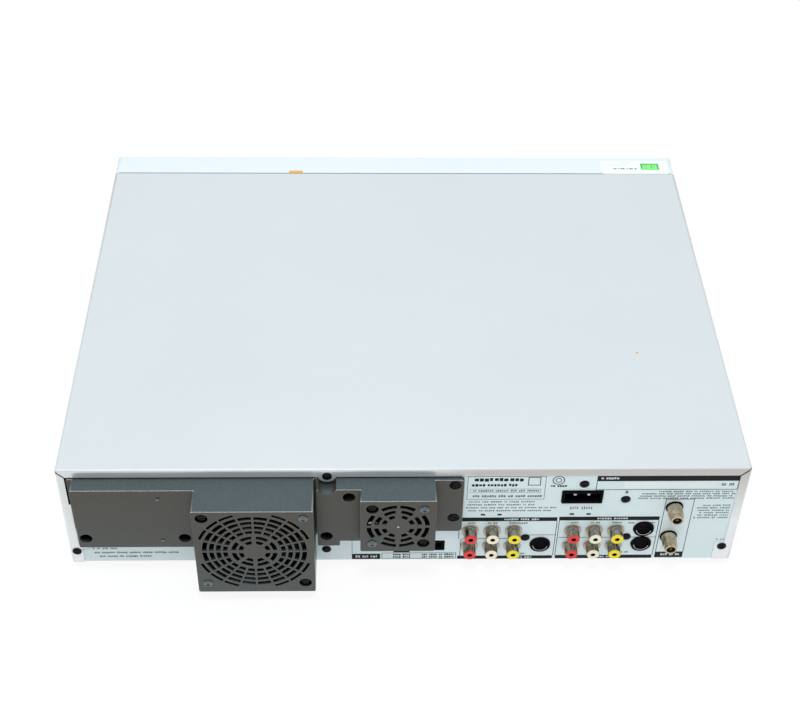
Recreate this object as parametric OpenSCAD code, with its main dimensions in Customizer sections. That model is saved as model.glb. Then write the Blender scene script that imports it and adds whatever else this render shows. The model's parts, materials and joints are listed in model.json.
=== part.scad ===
// Disc and cassette combination player, built as the pieces that it comes apart into.
// Millimetres. +Z is up, the front faces -Y and the sockets face +Y.
// The origin lies on the floor, below the middle of the whole player.

/* [Cabinet] */
// Width over the cover's sides
body_w = 430; // [425:1:445]
// Height of the cabinet above its feet
body_h = 87; // [86:1:100]
// Depth of the sheet cover, from the front panel's seam to the rear flange
cover_d = 309; // [306:1:330]
// Depth of the front panel behind its face
bezel_d = 21; // [20:1:24]
// Thickness of the sheet cover
cover_t = 0.8; // [0.7:0.1:1]
// Outside radius of the cover's bends
cover_r = 2.2; // [1.5:0.1:3]
// Width of the cover's folded rear flange
flange_w = 6.3; // [5.5:0.1:7]
// Thickness of the chassis pan
pan_t = 1; // [0.8:0.1:1.2]
// Height of the chassis pan's turned-up sides
pan_wall_h = 14; // [8:1:20]
// Thickness of the rear panel
panel_t = 1; // [0.8:0.1:1.2]
// Wall of the moulded front panel
bezel_t = 3; // [2.5:0.1:3.1]
// Radius of the front panel's outer corners
bezel_r = 3; // [2:0.5:4]
// Height of the feet
foot_h = 9; // [6:1:14]
// Diameter of each foot
foot_dia = 34; // [24:1:40]
// Gap left between sheets that slide over each other
sheet_gap = 0.4; // [0.3:0.1:0.5]

/* [Fan cases] */
// Reach of the large fan case behind the rear flange
big_box_d = 27.6; // [26:0.2:32]
// Height of the flat duct's lower edge above the cabinet's base
duct_z = 27; // [24:0.5:29]
// Reach of the flat duct behind the rear flange
duct_d = 10.3; // [9:0.1:12]
// Reach of the small fan case behind the rear flange
small_box_d = 19.6; // [18:0.2:24]
// Wall of both moulded fan cases
case_t = 1.8; // [1.6:0.1:1.8]
// Width of each large fan slot, along the radius
slot_w = 2.9; // [2.4:0.1:3]
// Distance between the large grille's rings
ring_pitch = 4.3; // [4.1:0.05:4.4]
// Number of spokes between the large grille's outer slots
spokes = 20; // [16:4:24]

/* [Fans] */
// Width of the large fan's square frame
big_fan_w = 70; // [68:0.5:70]
// Distance between the large fan's corner holes
big_fan_holes = 61.5; // [60:0.5:62]
// Depth of the large fan
big_fan_d = 15; // [12:0.5:20]
// Width of the small fan's square frame
small_fan_w = 40; // [38:0.5:40]
// Distance between the small fan's corner holes
small_fan_holes = 32; // [31:0.5:32.5]
// Depth of the small fan
small_fan_d = 10; // [8:0.5:12]
// Number of blades on each fan
blades = 7; // [5:2:9]

/* [Sockets] */
// Outside diameter of a phono socket's sleeve
phono_dia = 8.3; // [8.1:0.1:8.5]
// Reach of a phono socket behind the rear flange
phono_reach = 7.4; // [7:0.2:9]
// Distance between phono sockets in a row
phono_pitch = 14; // [13:0.5:14]
// Distance between the two rows of phono sockets
phono_row = 15; // [13:0.5:15]
// Outside diameter of an S-video socket's face
svideo_dia = 13; // [12.4:0.1:13.6]
// Outside diameter of an aerial socket
aerial_dia = 9.5; // [9.4:0.05:9.6]
// Reach of an aerial socket behind the rear flange
aerial_reach = 10.8; // [9.5:0.1:13]
// Width of the mains inlet's mouth
inlet_w = 25.6; // [24:0.2:27]
// Height of the mains inlet's mouth
inlet_h = 10.8; // [10:0.2:12]
// Depth of the mains inlet's mouth
inlet_d = 13; // [12:0.5:16]

/* [Front] */
// Height of the disc tray's slot
tray_slot_h = 17; // [16:0.5:18]
// Width of the display window
window_w = 140; // [130:1:146]
// Height of the display window
window_h = 24; // [20:1:26]
// Width of the flap over the front sockets
flap_w = 106; // [96:1:108]
// Height of the flap over the front sockets
flap_h = 25.6; // [24:0.2:26]
// Gap round each door, key and tray in the front panel
door_gap = 0.4; // [0.3:0.05:0.5]
// Inward travel of each key
key_travel = 1.2; // [0.8:0.1:1.2]
// Reach of each key in front of the panel
key_proud = 0.8; // [0.4:0.1:1.2]

/* [Cassette deck] */
// Width of a cassette
cassette_w = 187; // [186:0.5:188]
// Depth of a cassette
cassette_d = 102; // [100:1:104]
// Height of a cassette
cassette_h = 25; // [24.5:0.5:25.5]
// Backward travel of the cassette carriage
carriage_travel = 48; // [40:1:50]
// Downward travel of the cassette holder
lower_travel = 20; // [16:0.5:20]
// Diameter of the head drum
drum_dia = 62; // [60:0.5:63]
// Lean of the head drum from upright, in degrees
drum_lean = 5; // [4:0.5:6]
// Distance between the two reel spindles
reel_pitch = 93; // [90:1:94]
// Diameter of the capstan shaft
capstan_dia = 3; // [2.5:0.1:3.4]

/* [Disc drive] */
// Width of the disc tray
tray_w = 128; // [127:0.5:130]
// Outward travel of the disc tray
tray_travel = 135; // [120:1:136]
// Diameter of the tray's disc recess
disc_recess_dia = 122; // [121:0.5:123]
// Module of the tray's rack and pinion
gear_module = 1; // [0.9:0.05:1.05]
// Teeth on the tray's pinion
pinion_teeth = 16; // [14:2:18]
// Travel of the laser sled
sled_travel = 34; // [30:1:36]

/* [Hidden] */
$fn = 64;
over = 1;            // how far a cutter runs past the face it cuts
fit = 0.05;          // running clearance round a shaft, on the radius
screw_r = 1.45;      // screw shank
screw_fit = 0.05;    // clearance round a screw shank
head_r = 3;          // screw head
head_h = 1.7;
well_r = 4;          // well that a screw head lies in
dome_h = 1.7;        // reach of the bright screws beyond the large fan case

// Places along Y. Rear pieces are measured from the flange, front ones from the panel's face.
front_reach = cover_d + bezel_d + key_proud;
rear_reach = big_box_d + dome_h;
rear_y = (front_reach - rear_reach) / 2;
front_y = rear_y - cover_d - bezel_d;
body_d = cover_d + bezel_d;
panel_out = -cover_t;               // outer face of the rear panel, from the flange
panel_in = panel_out - panel_t;     // inner face of the rear panel, from the flange
side_in = body_w / 2 - cover_t;     // inner face of the cover's sides
lid_in = body_h - cover_t;          // under side of the cover's top
pan_x = side_in - sheet_gap;        // outer face of the pan's turned-up sides
pan_front = bezel_d + sheet_gap;    // front edge of the pan, from the front face
panel_gap = max(sheet_gap, cover_r - cover_t); // keeps the rear panel clear of the cover's bends

// Rear layout, seen from the middle of the cabinet and its base.
case_top = body_h - flange_w - 0.8;
case_r = 1.2;                       // corners of the moulded cases
seat_y = panel_out + case_t;        // floor of the wells that the cases' screws lie in
small_x = 4.5;
small_box_w = small_fan_w + 2 * case_t + 3.2;
small_box_z = case_top - small_box_w;
small_z = case_top - small_box_w / 2;
step_w = 14.1;                      // part beside the small box
step_d = 10.1;
pillar_w = 12.8;                    // part under the cover's screw tab
step_z = case_top - 47.9;
pillar_z = case_top - 52.5;
step_x = small_x + small_box_w / 2;
pillar_x = step_x + step_w;
big_box_w = big_fan_w + 2 * case_t + 0.4;
big_box_x = pillar_x + pillar_w + 1.5;
big_box_z = case_top - big_fan_w - 2 * case_t - 2.8;
big_x = big_box_x + big_box_w / 2;
big_z = case_top - case_t - 0.2 - big_fan_w / 2;
duct_x = big_box_x + big_box_w;
duct_w = body_w / 2 - 9.8 - duct_x; // ends just inside the cabinet's side
rim_d = 0.7;                        // reach of the thin rims beside the large case and its duct
rim_z = 34;                         // lower end of the duct's rim
rim_gap = 0.2;                      // between that rim and the cover's side flange
relief_w = 1.1;                     // relief in the side flange beside the duct
relief_z = 56;                      // its lower end
lug_w = 17.7;
lug_d = 2.4;
lug_x = small_x - small_box_w / 2 - lug_w;
tab_x = 48.4;                       // screw tab on the cover's top flange
tab_z = body_h - 5.5;
tab_r = 5.2;
mitre_gap = 1.0;                    // open corner between two flanges
corner_tab_w = 8.2;                 // tab at the cover's lower corner below the duct
wide_tab_w = 12.4;                  // tab at the other lower corner
corner_tab_h = 16.5;
corner_screw_at = [[body_w / 2 - 4.5, 11], [7.5 - body_w / 2, 13]];
phono_x = [-56.6, -122.5];          // middle of each group of phono sockets
phono_z = 13.5;
phono_rim = 0.7;                    // coloured rim over the end of a phono socket's sleeve
svideo_at = [[-88.6, 15], [-154.3, 30], [-154.3, 15.4]];
aerial_at = [[-171.4, 22.2], [-171.4, 50.3]];
aerial_tip = 2.5;                   // narrower end of an aerial socket
inlet_x = -111.7;
inlet_z = body_h - 26.2;
spoke_w = 1.3;                      // bars between the slots of a grille
ring_out = 31;                      // large grille's outer full ring
ring_in = 8.6;                      // its innermost ring
strut_t = 2;                        // struts that carry a fan's motor
fan_shaft_r = 1.5;
big_hub_r = 13.5;
small_hub_r = 9;
pin_pitch = 8.6;
board_top = 5.6;                    // top of the main board
power_top = body_h - 38.4;          // top of the power board
board_t = 1.6;
panel_screw_at = [[49.8, 10.9], [-78.5, 21.7], [-144, 22.2], [-111.8, body_h - 14.2],
                  [-139.3, body_h - 28.6]];
duct_screw_at = [[duct_x + duct_w - 4.9, duct_z + 8.5], [duct_x + 8, duct_z + 8.5]];
step_screw_at = [[step_x + 6.9, case_top - 7], [pillar_x + 7.2, pillar_z + 9.1]];
lug_screw_at = [[lug_x + 5.6, case_top - 4.8], [lug_x + 5.6, case_top - 35]];
side_screw_at = [[-28, 45], [-cover_d + 45, 45]];
foot_at = [[1, 44], [-1, 44], [1, body_d - 44], [-1, body_d - 44]];
foot_x = body_w / 2 - 38;

// Front layout, seen from the middle of the cabinet and its base.
deck_half = cassette_w / 2 + 7.5;   // half of the cassette deck's width
vcr_x = deck_half + 5 - body_w / 2;
drive_w = tray_w + 20;
disc_x = body_w / 2 - 30 - drive_w / 2;
cassette_slot_w = cassette_w + 7;
cassette_slot_h = cassette_h + 9;
cassette_slot_z = body_h - 6 - cassette_slot_h;
hinge_r = 2.2;                      // barrel of the cassette door
door_t = 2.2;
door_recess = 0.6;
door_hinge_z = cassette_slot_z + cassette_slot_h - door_gap - hinge_r;
door_hinge_y = door_recess + hinge_r;
pin_r = 1.2;
tray_slot_w = tray_w + 14;
tray_slot_z = body_h - 15.5 - tray_slot_h;
window_x = 12;
window_z = 12.5;
window_t = 1.4;
window_lip = 2;
flap_x = body_w / 2 - 62;
flap_z = 8.2;
flap_r = 2.1;
flap_t = 2.1;
flap_recess = 0.3;
flap_hinge_z = flap_z + door_gap + flap_r;
flap_hinge_y = flap_recess + flap_r;
bay_d = 12;                         // depth of the bay behind the flap
bay_t = 1.6;
key_flange = 1.2;
key_back = 9;                       // inner end of each key's stem
key_r = 1.2;                        // corners of the keys
front_board_y = 13;
hook_x = 150;                       // hooks that hold the front panel to the pan's lip
lip_h = 5;
key_w = 19;
key_h = 6.5;
key_pitch = 25;
power_key_r = 5.5;
tape_key_z = 24;
disc_key_z = body_h - 9;
channel_key_w = 10;
channel_key_h = 10.5;
power_key_at = [vcr_x - 82, tape_key_z];
tape_key_at = [for (i = [0 : 2]) [vcr_x - 54 + i * key_pitch, tape_key_z]];
disc_key_at = [for (i = [0, 1]) [disc_x + 12 + i * key_pitch, disc_key_z]];
channel_key_at = [for (i = [0, 1]) [body_w / 2 - 18, body_h - 31 + i * 14]];
key_at = concat([power_key_at], tape_key_at, disc_key_at, channel_key_at);
front_socket_at = [flap_x - 36, flap_z + flap_h / 2];

// Cassette deck, from the front face and the middle of the slot.
holder_t = 1.2;
holder_y = 38;
holder_d = cassette_d - 2;
holder_w = cassette_w + 2.6 + 2 * holder_t;
holder_floor = cassette_slot_z + 1.5;
holder_in_h = cassette_h + 1.5;
holder_ledge = 13;
holder_top = holder_floor + holder_in_h + holder_t;
rail_gap = 0.6;
rail_t = 1.3;
rail_x = holder_w / 2 + rail_gap;
rail_z = holder_floor - lower_travel + 2;
deck_t = 1.5;
deck_wall_x = deck_half - deck_t;
deck_z = holder_floor - lower_travel - 6.5 - deck_t;
deck_top = deck_z + deck_t;
deck_y = 32;
deck_wall_top = body_h - 15;
peg_r = 1.5;
peg_fit = 0.1;
holder_peg_y = [holder_y + 20, holder_y + holder_d - 20];
holder_peg_z = holder_floor + 10;
rail_peg_y = [holder_y + 10, holder_y + holder_d - 10];
rail_peg_z = rail_z + 4;
drum_y = holder_y + holder_d + carriage_travel + 6 + drum_dia / 2;
deck_end = drum_y + drum_dia / 2 + 2;
drum_shaft_r = 2.5;
reel_r = 20;
reel_pin_r = 2;
post_y = -66;                       // posts under the power board, from the rear flange
reel_y = holder_y + carriage_travel + 40;
capstan_at = [62, drum_y - 26];
wheel_r = 14;                        // the capstan's flywheel
wheel_h = 5;
wheel_z = (deck_z + pan_t - wheel_h) / 2;
pinch_at = [84, drum_y - 8];
pinch_l = 26;                       // from the arm's pin to its roller
pinch_r = 7;
pinch_rest = 176.5;                 // direction of the pinch arm at rest
drum_split = 22;                    // height of the fixed lower drum

// Disc drive, from the front face and the middle of the tray.
drive_y = bezel_d + 2;
drive_l = 190;
drive_z = tray_slot_z - 12.5;
drive_h = 36;
drive_t = 1.2;
drive_floor = drive_z + drive_t;
tray_z = tray_slot_z + 4;
tray_floor = 2;
tray_h = 4.5;
tray_y = 3;
tray_l = tray_travel + 43;          // keeps the rack on its pinion with the tray out
disc_y = tray_y + 14 + disc_recess_dia / 2;
tray_mouth = 44;
rail_in = tray_w / 2 - 4;           // inner edge of the rails that carry the tray
rack_h = 3.6;
rack_x = rail_in - 4;               // pitch line of the rack
pinion_r = gear_module * pinion_teeth / 2;
pinion_at = [rack_x - pinion_r, drive_y + 14];
backlash = 0.36;
rod_r = 1.5;
rod_x = 17;
rod_z = drive_floor + 8;
sled_y = disc_y + 16;
sled_l = 28;
sled_top = tray_z - 2.5;
spindle_r = 1.5;
table_r = 15;
table_top = tray_z + tray_floor + 1.4;

// ---- shared shapes ----

// A block between two corners.
module block(x0, x1, y0, y1, z0, z1) {
    translate([x0, y0, z0]) cube([x1 - x0, y1 - y0, z1 - z0]);
}

// Round bars along each axis.
module bar_x(r, x0, x1, y, z) {
    translate([x0, y, z]) rotate([0, 90, 0]) cylinder(r = r, h = x1 - x0);
}

module bar_y(r, x, y0, y1, z) {
    translate([x, y0, z]) rotate([-90, 0, 0]) cylinder(r = r, h = y1 - y0);
}

module bar_z(r, x, y, z0, z1) {
    translate([x, y, z0]) cylinder(r = r, h = z1 - z0);
}

// A flat outline drawn in X and Z, given a thickness from y0 to y1.
module upright(y0, y1) {
    translate([0, y1, 0]) rotate([90, 0, 0]) linear_extrude(y1 - y0) children();
}

// A rectangle with round corners.
module round_rect(x0, x1, y0, y1, r) {
    translate([x0 + r, y0]) square([x1 - x0 - 2 * r, y1 - y0]);
    translate([x0, y0 + r]) square([x1 - x0, y1 - y0 - 2 * r]);
    for (x = [x0 + r, x1 - r], y = [y0 + r, y1 - r]) translate([x, y]) circle(r);
}

// Things measured from the rear flange, and from the front face, above the cabinet's base.
module at_rear() { translate([0, rear_y, foot_h]) children(); }
module at_front() { translate([0, front_y, foot_h]) children(); }
module at_deck() { translate([vcr_x, front_y, foot_h]) children(); }
module at_drive() { translate([disc_x, front_y, foot_h]) children(); }

// A cross-slot screw that points along -Y, with the under side of its domed head at y = 0.
module screw(length, tall = head_h, slot = 1.8) {
    rise = tall * 0.7;
    dome_r = (head_r * head_r + rise * rise) / (2 * rise);
    difference() {
        union() {
            intersection() {
                bar_y(head_r, 0, 0, tall + over, 0);
                translate([0, tall - dome_r, 0]) sphere(dome_r);
            }
            bar_y(screw_r, 0, -length, 0.1, 0);
        }
        for (turn = [0, 90]) rotate([0, turn, 0])
            block(-slot, slot, tall * 0.45, tall + over, -0.4, 0.4);
    }
}

// A folded box: top and rear edges rounded, reaching down past z = 0 and forward past y = -d.
module folded(w, d, h, r, low, front) {
    intersection() {
        upright(-d - front, 0) difference() {
            translate([-w / 2, -low]) square([w, h + low]);
            for (side = [-1, 1]) translate([side * (w / 2 - r), h - r]) fold_corner(side, r);
        }
        translate([w / 2, 0, 0]) rotate([90, 0, -90]) linear_extrude(w) difference() {
            translate([0, -low]) square([d + front, h + low]);
            translate([r, h - r]) fold_corner(-1, r);
        }
        translate([0, 0, -low]) linear_extrude(h + low) difference() {
            translate([-w / 2, -d - front]) square([w, d + front]);
            for (side = [-1, 1]) translate([side * (w / 2 - r), -r]) fold_corner(side, r);
        }
    }
}

// The scrap that a round corner of radius r takes off, on the +Y side and towards side.
module fold_corner(side, r) {
    difference() {
        translate([side > 0 ? 0 : -r - over, 0]) square([r + over, r + over]);
        circle(r);
    }
}

// ---- cabinet ----

module top_cover() {
    color("gainsboro") at_rear() difference() {
        union() {
            difference() {
                folded(body_w, cover_d, body_h, cover_r, 0, 0);
                translate([0, -cover_t, 0])
                    folded(2 * side_in, cover_d - cover_t, lid_in, cover_r - cover_t, over, over);
                block(-body_w / 2 + flange_w, body_w / 2 - flange_w, -cover_t - over, over,
                      -over, body_h - flange_w);
                block(0, body_w / 2 - flange_w + relief_w, -cover_t - over, over, relief_z, body_h - flange_w);
            }
            upright(-cover_t, 0) intersection() {
                translate([tab_x, tab_z]) circle(tab_r);
                translate([tab_x - tab_r, tab_z - tab_r])
                    square([2 * tab_r, body_h - flange_w - tab_z + tab_r + 0.2]);
            }
            for (side = [-1, 1]) {
                inner = side * (body_w / 2 - (side > 0 ? corner_tab_w : wide_tab_w));
                outer = side * (body_w / 2 - flange_w + 0.2);
                block(min(inner, outer), max(inner, outer), -cover_t, 0, 0, corner_tab_h);
            }
        }
        bar_y(screw_r + screw_fit, tab_x, -cover_t - over, over, tab_z);
        for (at = corner_screw_at) bar_y(screw_r + screw_fit, at[0], -cover_t - over, over, at[1]);
        for (side = [-1, 1]) {
            // Open mitre from the corner between the top flange and the side flange to the outer edge.
            relief = side > 0 ? relief_w : 0;
            translate([side * (body_w / 2 + over), -cover_t - over, body_h - relief + over])
                rotate([0, 90 + side * 45, 0]) translate([0, 0, -mitre_gap / 2])
                    cube([(flange_w - relief + over) * sqrt(2) + mitre_gap, cover_t + 2 * over, mitre_gap]);
            for (at = side_screw_at)
                bar_x(screw_r + screw_fit, side * body_w / 2 - 2, side * body_w / 2 + 2, at[0], at[1]);
        }
    }
}

module pan_vents(x0, x1, y0, y1) {
    pitch = 8;
    for (x = [x0 : pitch : x1]) block(x, x + 3, y0, y1, -over, pan_t + over);
}

module bottom_chassis() {
    color("silver") at_front() difference() {
        union() {
            block(-pan_x, pan_x, pan_front, body_d + panel_in, 0, pan_t);
            for (side = [-1, 1])
                block(min(side * pan_x, side * (pan_x - pan_t)), max(side * pan_x, side * (pan_x - pan_t)),
                      pan_front, body_d + panel_in, 0, pan_wall_h);
            block(-pan_x, pan_x, pan_front, pan_front + pan_t, 0, lip_h);
            // Turned-up ears that the side screws enter.
            for (side = [-1, 1], at = side_screw_at)
                block(min(side * pan_x, side * (pan_x - pan_t)), max(side * pan_x, side * (pan_x - pan_t)),
                      body_d + at[0] - 7, body_d + at[0] + 7, pan_wall_h - 1, at[1] + 7);
            for (at = foot_at) bar_z(5, at[0] * foot_x, at[1], 0, 2.6);
            // Posts under the main board, the power board and the disc drive.
            for (x = [-184, -40, 60, 190]) bar_z(3, x, body_d - 12, 0, board_top - board_t);
            for (x = [30, 190]) bar_z(3, x, body_d - 100, 0, board_top - board_t);
            for (x = [-96, -40]) bar_z(3, x, body_d + post_y, 0, power_top - board_t);
            for (side = [-1, 1], y = [drive_y + 8, drive_y + drive_l - 8])
                bar_z(4, disc_x + side * (drive_w / 2 - 8), y, 0, drive_z);
        }
        for (at = foot_at) bar_z(screw_r + screw_fit, at[0] * foot_x, at[1], -over, 2.6 + over);
        for (side = [-1, 1], at = side_screw_at)
            bar_x(screw_r + screw_fit, side * pan_x - 2, side * pan_x + 2, body_d + at[0], at[1]);
        pan_vents(-160, -60, 100, 150);
        pan_vents(60, 160, 215, 255);
    }
}

module rear_holes() {
    for (gx = phono_x, i = [-1, 0, 1], j = [0, 1])
        bar_y(phono_dia / 2 + 0.6, gx + i * phono_pitch, panel_in - over, panel_out + over,
              phono_z + j * phono_row);
    for (at = svideo_at) bar_y(svideo_dia / 2 + 0.2, at[0], panel_in - over, panel_out + over, at[1]);
    for (at = aerial_at) bar_y(aerial_dia / 2 + 1, at[0], panel_in - over, panel_out + over, at[1]);
    block(inlet_x - inlet_w / 2 - 0.3, inlet_x + inlet_w / 2 + 0.3, panel_in - over, panel_out + over,
          inlet_z - inlet_h / 2 - 0.3, inlet_z + inlet_h / 2 + 0.3);
    block(-26.8, -5.7, panel_in - over, panel_out + over, 9.2, 18.8);
    block(-4.3, 6.5, panel_in - over, panel_out + over, 7.2, 17.8);
    bar_y(3.2, 22, panel_in - over, panel_out + over, 14);
    bar_y(big_fan_w / 2 - 2, big_x, panel_in - over, panel_out + over, big_z);
    bar_y(small_fan_w / 2 - 2, small_x, panel_in - over, panel_out + over, small_z);
    for (at = concat(panel_screw_at, duct_screw_at, step_screw_at, lug_screw_at, corner_screw_at,
                     [[tab_x, tab_z]]))
        bar_y(screw_r + screw_fit, at[0], panel_in - over, panel_out + over, at[1]);
    // Duct mouth behind the flat duct.
    block(duct_x + 18, duct_x + duct_w - 14, panel_in - over, panel_out + over, duct_z + 20, case_top - 12);
}

module rear_panel() {
    color("lightgray") at_rear() {
        difference() {
            block(-side_in + panel_gap, side_in - panel_gap, panel_in, panel_out, 0, lid_in - panel_gap);
            rear_holes();
        }
        // Shelves that carry the power board's rear edge.
        for (x = [-150, -60])
            block(x, x + 12, panel_in - 8, panel_in + 0.2, power_top - board_t - 1, power_top - board_t);
        // Raised rings pressed round two of the screws.
        for (at = [panel_screw_at[3], panel_screw_at[4]]) difference() {
            bar_y(4.8, at[0], panel_out, panel_out + 0.5, at[1]);
            bar_y(head_r + 0.4, at[0], panel_out - over, panel_out + over, at[1]);
        }
    }
}

module feet() {
    color("dimgray") at_front() for (at = foot_at)
        translate([at[0] * foot_x, at[1], -foot_h]) difference() {
            union() {
                cylinder(r = foot_dia / 2 - 3, h = 1.6);
                translate([0, 0, 1.6]) cylinder(r1 = foot_dia / 2 - 1.5, r2 = foot_dia / 2, h = foot_h - 1.6);
            }
            translate([0, 0, -over]) cylinder(r = head_r + 1, h = foot_h - 2 + over);
            translate([0, 0, -over]) cylinder(r = screw_r + screw_fit, h = foot_h + 2 * over);
        }
}

module black_screws() {
    color("black") {
        at_rear() {
            for (at = panel_screw_at) translate([at[0], panel_out, at[1]]) screw(6);
            for (at = concat(corner_screw_at, [[tab_x, tab_z]]))
                translate([at[0], 0, at[1]]) screw(6);
            for (at = concat(duct_screw_at, step_screw_at, lug_screw_at))
                translate([at[0], seat_y, at[1]]) screw(6);
            for (side = [-1, 1]) {
                translate([big_x + side * big_fan_holes / 2, big_box_d - case_t,
                           big_z + side * big_fan_holes / 2])
                    screw(8);
                translate([small_x + side * small_fan_holes / 2, small_box_d - case_t,
                           small_z + side * small_fan_holes / 2])
                    screw(6);
            }
        }
        at_front() for (at = foot_at)
            translate([at[0] * foot_x, at[1], -2]) rotate([-90, 0, 0]) screw(5);
    }
}

module silver_screws() {
    color("silver") {
        at_rear() {
            for (side = [-1, 1]) {
                translate([big_x + side * big_fan_holes / 2, big_box_d, big_z - side * big_fan_holes / 2])
                    screw(10, dome_h, 1.2);
                translate([small_x + side * small_fan_holes / 2, small_box_d,
                           small_z - side * small_fan_holes / 2])
                    screw(8, dome_h, 1.2);
            }
            // Rivets on the flat duct.
            for (z = [duct_z + 6.7, case_top - 7.7]) bar_y(1.1, duct_x + 21.9, duct_d, duct_d + 0.6, z);
            // Dimple above the screw with a ring.
            bar_y(0.9, panel_screw_at[4][0], panel_out, panel_out + 0.5, panel_screw_at[4][1] + 6.6);
        }
        // Screws through the cover's sides.
        for (side = [-1, 1], at = side_screw_at)
            translate([side * body_w / 2, rear_y + at[0], foot_h + at[1]]) rotate([0, 0, side * -90])
                screw(5, 0.8 * dome_h, 1.2);
    }
}

// ---- fan cases and fans ----

module ring(r, w) {
    difference() {
        circle(r + w / 2);
        circle(r - w / 2);
    }
}

module wedge(a0, a1, reach) {
    polygon([[0, 0], reach * [cos(a0), sin(a0)], reach * [cos(a1), sin(a1)]]);
}

module spoke_bars(count, w) {
    for (i = [0 : count / 2 - 1]) rotate(i * 360 / count) square([120, w], center = true);
}

module big_grille() {
    difference() {
        for (i = [0 : 3]) ring(ring_out - i * ring_pitch, slot_w);
        spoke_bars(spokes, spoke_w);
    }
    // Short slots towards the corners only.
    difference() {
        ring(ring_out + ring_pitch, slot_w * 0.7);
        spoke_bars(spokes, spoke_w);
        for (turn = [0 : 90 : 270]) rotate(turn) wedge(-360 / spokes, 360 / spokes, 60);
    }
    difference() {
        for (r = [ring_in, ring_in + ring_pitch]) ring(r, slot_w);
        spoke_bars(8, 2 * spoke_w);
    }
}

module small_grille() {
    // Radius of each arc, and the angles from the nearest axis that it spans.
    arcs = [[18.2, 3, 34], [13.6, 7, 39], [9.1, 13, 38]];
    for (turn = [0 : 90 : 270], flip = [0, 1], arc = arcs)
        rotate(turn) mirror([0, flip]) intersection() {
            ring(arc[0], slot_w);
            wedge(arc[1], arc[2], 30);
        }
}

module screw_well(at, reach) {
    bar_y(well_r, at[0], seat_y, reach + over, at[1]);
    bar_y(screw_r + screw_fit, at[0], panel_out - over, reach, at[1]);
}

// Holes through a fan case's face: two plain ones for bright screws, two wells for black ones.
module fan_screw_holes(x, z, pitch, reach) {
    for (i = [-1, 1], j = [-1, 1])
        bar_y(i * j > 0 ? well_r : screw_r + screw_fit, x + i * pitch / 2,
              reach - case_t - over, reach + over, z + j * pitch / 2);
}

module large_fan_case() {
    duct_end = duct_x + duct_w;
    color("dimgray") at_rear() difference() {
        union() {
            upright(panel_out, big_box_d) round_rect(big_box_x, duct_x, big_box_z, case_top, case_r);
            upright(panel_out, duct_d) round_rect(duct_x - 3, duct_end, duct_z, case_top, case_r);
            upright(panel_out, rim_d) {
                round_rect(big_box_x - 1, duct_x, duct_z, case_top, case_r);
                round_rect(duct_x, body_w / 2 - flange_w - rim_gap, rim_z, case_top, case_r);
            }
        }
        block(big_box_x + case_t, duct_x - case_t, panel_out - over, big_box_d - case_t,
              big_box_z + case_t, case_top - case_t);
        difference() {
            block(duct_x - case_t - over, duct_end - case_t, panel_out - over, duct_d - case_t,
                  duct_z + case_t, case_top - case_t);
            for (at = duct_screw_at) bar_y(well_r + case_t, at[0], panel_out - over, duct_d, at[1]);
        }
        for (at = duct_screw_at) screw_well(at, duct_d);
        translate([big_x, 0, big_z]) upright(big_box_d - case_t - over, big_box_d + over) big_grille();
        fan_screw_holes(big_x, big_z, big_fan_holes, big_box_d);
    }
}

module small_fan_case() {
    box_x = small_x - small_box_w / 2;
    pillar_end = pillar_x + pillar_w;
    relief_r = tab_r + 0.8;
    color("dimgray") at_rear() difference() {
        union() {
            upright(panel_out, small_box_d) round_rect(box_x, step_x, small_box_z, case_top, case_r);
            upright(panel_out, step_d) {
                round_rect(step_x - 3, pillar_end, step_z, case_top, case_r);
                round_rect(pillar_x - case_r, pillar_end, pillar_z, case_top, case_r);
            }
            upright(panel_out, lug_d) round_rect(lug_x, box_x + 3, step_z, case_top, 2.5);
        }
        block(box_x + case_t, step_x - case_t, panel_out - over, small_box_d - case_t,
              small_box_z + case_t, case_top - case_t);
        difference() {
            block(step_x - case_t - over, pillar_end - case_t, panel_out - over, step_d - case_t,
                  step_z + case_t, case_top - case_t);
            for (at = step_screw_at) bar_y(well_r + case_t, at[0], panel_out - over, step_d, at[1]);
            bar_y(relief_r + case_t, tab_x, panel_out - over, step_d, tab_z);
        }
        // Round relief that bares the cover's screw tab.
        bar_y(relief_r, tab_x, panel_out - over, step_d + over, tab_z);
        for (at = step_screw_at) screw_well(at, step_d);
        for (at = lug_screw_at) screw_well(at, lug_d);
        translate([small_x, 0, small_z])
            upright(small_box_d - case_t - over, small_box_d + over) small_grille();
        fan_screw_holes(small_x, small_z, small_fan_holes, small_box_d);
    }
}

// A fan's square frame: y runs from its struts to its open side.
module fan_frame(w, d, holes, bore_r, hub_r) {
    difference() {
        upright(0, d) round_rect(-w / 2, w / 2, -w / 2, w / 2, 3);
        bar_y(bore_r, 0, strut_t, d + over, 0);
        upright(-over, strut_t + over) difference() {
            circle(bore_r);
            circle(hub_r);
            for (turn = [45, 135]) rotate(turn) square([2 * bore_r + over, 3], center = true);
        }
        for (i = [-1, 1], j = [-1, 1])
            bar_y(screw_r + screw_fit, i * holes / 2, -over, d + over, j * holes / 2);
    }
    difference() {
        bar_y(fan_shaft_r + 2, 0, strut_t - 0.1, d * 0.6, 0);
        bar_y(fan_shaft_r + fit, 0, strut_t, d + over, 0);
    }
}

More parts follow.
